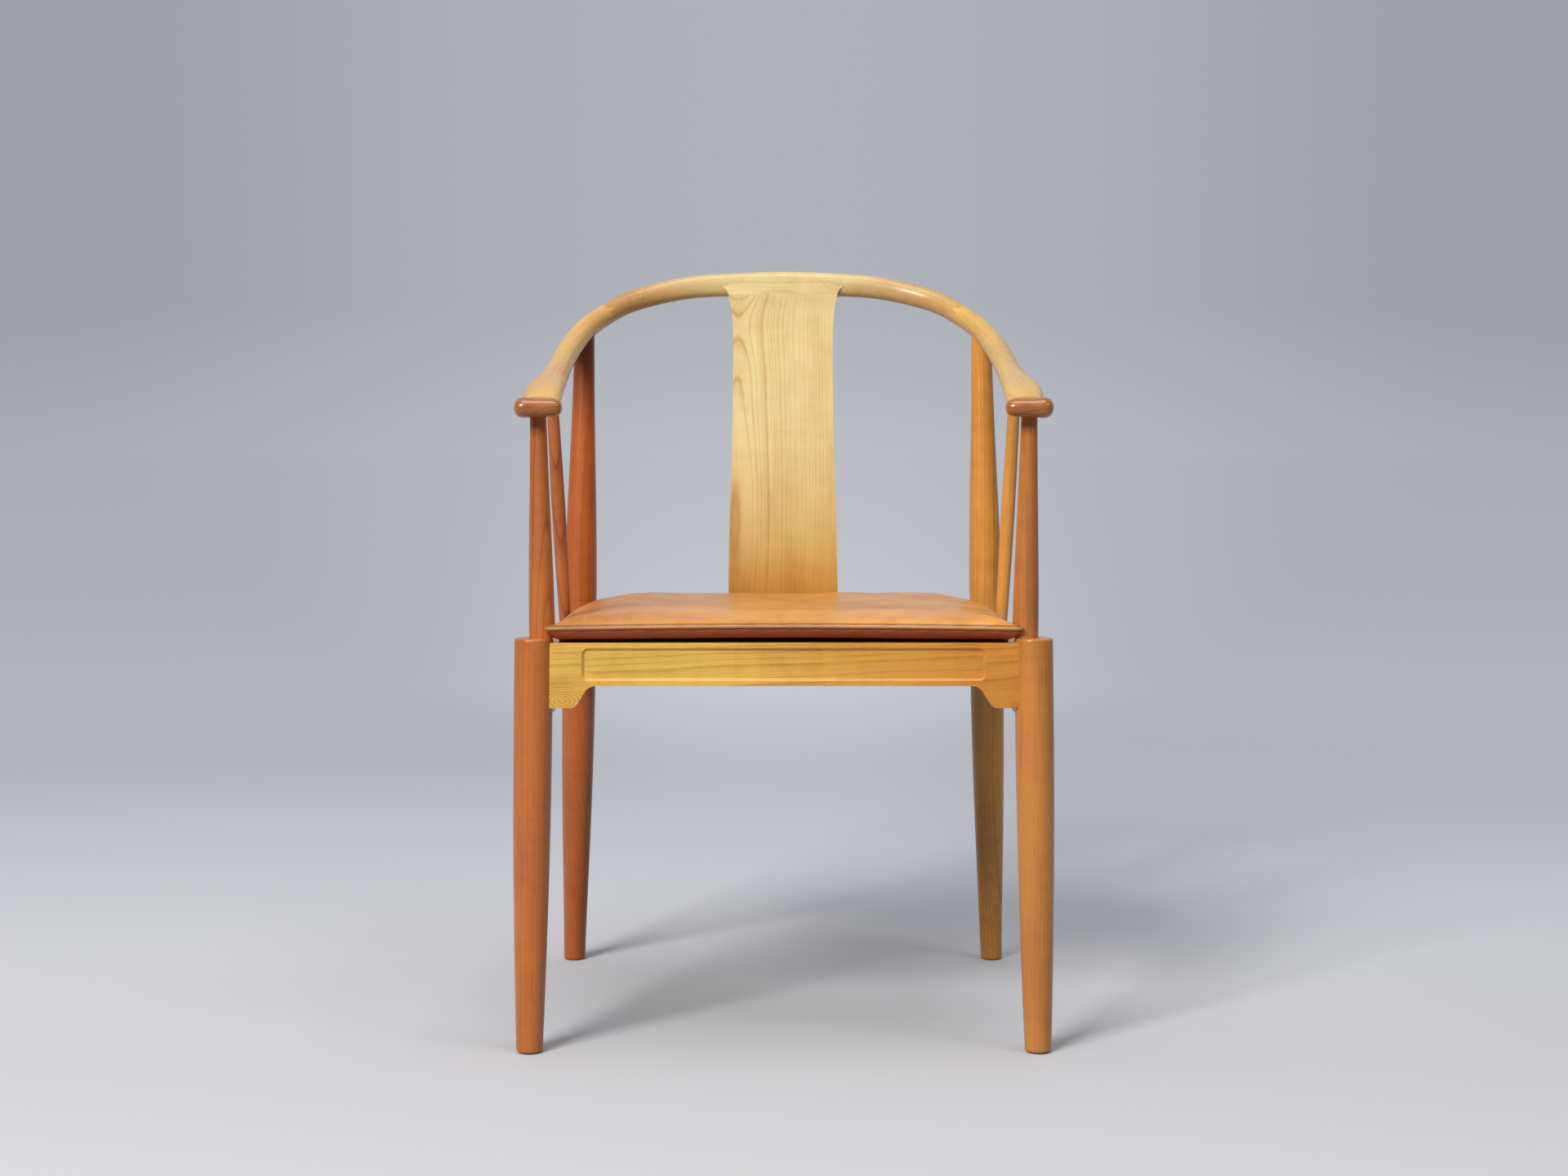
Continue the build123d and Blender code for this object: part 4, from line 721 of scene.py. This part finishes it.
def make_lamp(name, place, aim, size, power, colour="FFFFFF"):
    """Square soft box, aimed at a point and not seen by the camera."""
    data = bpy.data.lights.new(name, "AREA")
    data.shape = "RECTANGLE"
    data.size, data.size_y = size
    data.energy = power
    data.color = srgb(colour)[:3]
    lamp = bpy.data.objects.new(name, data)
    lamp.location = place
    lamp.rotation_euler = (Vector(aim) - Vector(place)).to_track_quat("-Z", "Y").to_euler()
    lamp.visible_camera = False
    scene.collection.objects.link(lamp)


def wall_tone(tree, direction):
    """Tone of the wall in a direction: a little darker upwards and to the sides."""
    parts = add(tree, "SeparateXYZ", {0: direction})
    upwards = add(tree, "MapRange", {0: parts.outputs[2], 1: -0.10, 2: 0.05})
    tone = add(tree, "ValToRGB", {0: upwards.outputs[0]},
               [(0.0, srgb(WALL_FOOT)), (0.67, srgb(WALL_LOW)), (1.0, srgb(WALL_HIGH))])
    aside = add(tree, "Math", {0: parts.outputs[0]}, operation="ABSOLUTE")
    aside = add(tree, "MapRange", {0: aside.outputs[0], 1: 0.02, 2: 0.30, 3: 1.0, 4: 0.80},
                interpolation_type="SMOOTHSTEP")
    tone = add(tree, "VectorMath", {0: tone.outputs[0], "Scale": aside.outputs[0]}, operation="SCALE")
    return tone.outputs[0]


def mirrored(tree, path):
    """1 for rays that reach the studio by way of a polished or clear surface."""
    either = add(tree, "Math", {0: path.outputs["Is Glossy Ray"], 1: path.outputs["Is Transmission Ray"]},
                 operation="MAXIMUM")
    return either.outputs[0]


def make_floor():
    """Wide paper floor, paler towards the front, whose far part takes on the wall's tone."""
    bm = bmesh.new()
    bmesh.ops.create_circle(bm, cap_ends=True, radius=FLOOR_RADIUS, segments=96)
    mesh = bpy.data.meshes.new("studio_floor")
    bm.to_mesh(mesh)
    bm.free()
    floor = bpy.data.objects.new("studio_floor", mesh)
    scene.collection.objects.link(floor)
    material, tree, shader, place = new_material("matt_paper_floor")
    split = add(tree, "SeparateXYZ", {0: place})
    depth = add(tree, "MapRange", {0: split.outputs[1], 1: -0.9, 2: 1.6})
    tone = add(tree, "ValToRGB", {0: depth.outputs[0]},
               [(0.0, srgb("CDCDD0")), (0.24, srgb("CBCBCE")),
                (0.45, srgb("CFD0D4")), (1.0, srgb("CED0D6"))])
    path = add(tree, "LightPath")
    shown = add(tree, "Math", {0: path.outputs["Is Camera Ray"], 1: mirrored(tree, path)},
                operation="MAXIMUM")
    bounce = add(tree, "Mix", {0: shown.outputs[0], 6: srgb(BOUNCE), 7: tone.outputs[0]},
                 data_type="RGBA")
    tree.links.new(bounce.outputs[2], shader.inputs["Base Color"])
    shader.inputs["Roughness"].default_value = 0.9
    shader.inputs["Specular IOR Level"].default_value = 0.1
    reach = add(tree, "VectorMath", {0: place}, operation="LENGTH")
    far = add(tree, "MapRange", {0: reach.outputs["Value"], 1: 0.9, 2: 3.4},
              interpolation_type="SMOOTHSTEP")
    outwards = add(tree, "VectorMath", {0: place, 1: MIDDLE}, operation="SUBTRACT")
    outwards = add(tree, "VectorMath", {0: outwards.outputs[0]}, operation="NORMALIZE")
    seen = add(tree, "MapRange", {0: shown.outputs[0], 3: 0.3, 4: 1.0})
    wall = add(tree, "Emission", {0: wall_tone(tree, outwards.outputs[0]), 1: seen.outputs[0]})
    mixed = add(tree, "MixShader", {0: far.outputs[0], 1: shader.outputs[0], 2: wall.outputs[0]})
    tree.links.new(mixed.outputs[0], tree.nodes["Material Output"].inputs[0])
    dress(floor, material)


def make_world():
    """Dim room; its wall shows to the camera, and in polished surfaces behind the chair."""
    world = bpy.data.worlds.new("studio")
    scene.world = world
    world.use_nodes = True
    tree = world.node_tree
    direction = add(tree, "TexCoord").outputs["Generated"]
    parts = add(tree, "SeparateXYZ", {0: direction})
    path = add(tree, "LightPath")
    behind, shown = (add(tree, "MapRange", {0: parts.outputs[1], 1: -0.1, 2: 0.6, 3: ROOM, 4: strength},
                         interpolation_type="SMOOTHSTEP") for strength in (WALL_LIGHT, GLOW))
    shine = add(tree, "Mix", {0: mirrored(tree, path), 2: behind.outputs[0], 3: shown.outputs[0]},
                data_type="FLOAT")
    light = tree.nodes["Background"]
    light.inputs[0].default_value = srgb("E4E8F0")
    tree.links.new(shine.outputs[0], light.inputs[1])
    wall = add(tree, "Background", {0: wall_tone(tree, direction), 1: 1.0})
    both = add(tree, "MixShader",
               {0: path.outputs["Is Camera Ray"], 1: light.outputs[0], 2: wall.outputs[0]})
    tree.links.new(both.outputs[0], tree.nodes["World Output"].inputs[0])


def make_studio():
    """Floor, wall tone and three large soft boxes, far enough off to light the floor evenly."""
    make_floor()
    make_world()
    chair = (0.0, 0.0, 0.45)
    make_lamp("key_front_left", (-3.2, -5.2, 4.5), chair, (2.4, 2.4), 480.0, "FFFDFA")
    make_lamp("overhead", (0.0, -0.9, 5.5), (0.0, 0.0, 0.4), (3.2, 3.2), 105.0)
    make_lamp("fill_right", (3.4, -2.6, 4.4), chair, (1.5, 1.5), 30.0, "F4F8FF")
    scene.view_settings.view_transform = "Standard"


make_camera()
dress_wood()
dress_hardware()
make_cushion()
make_studio()
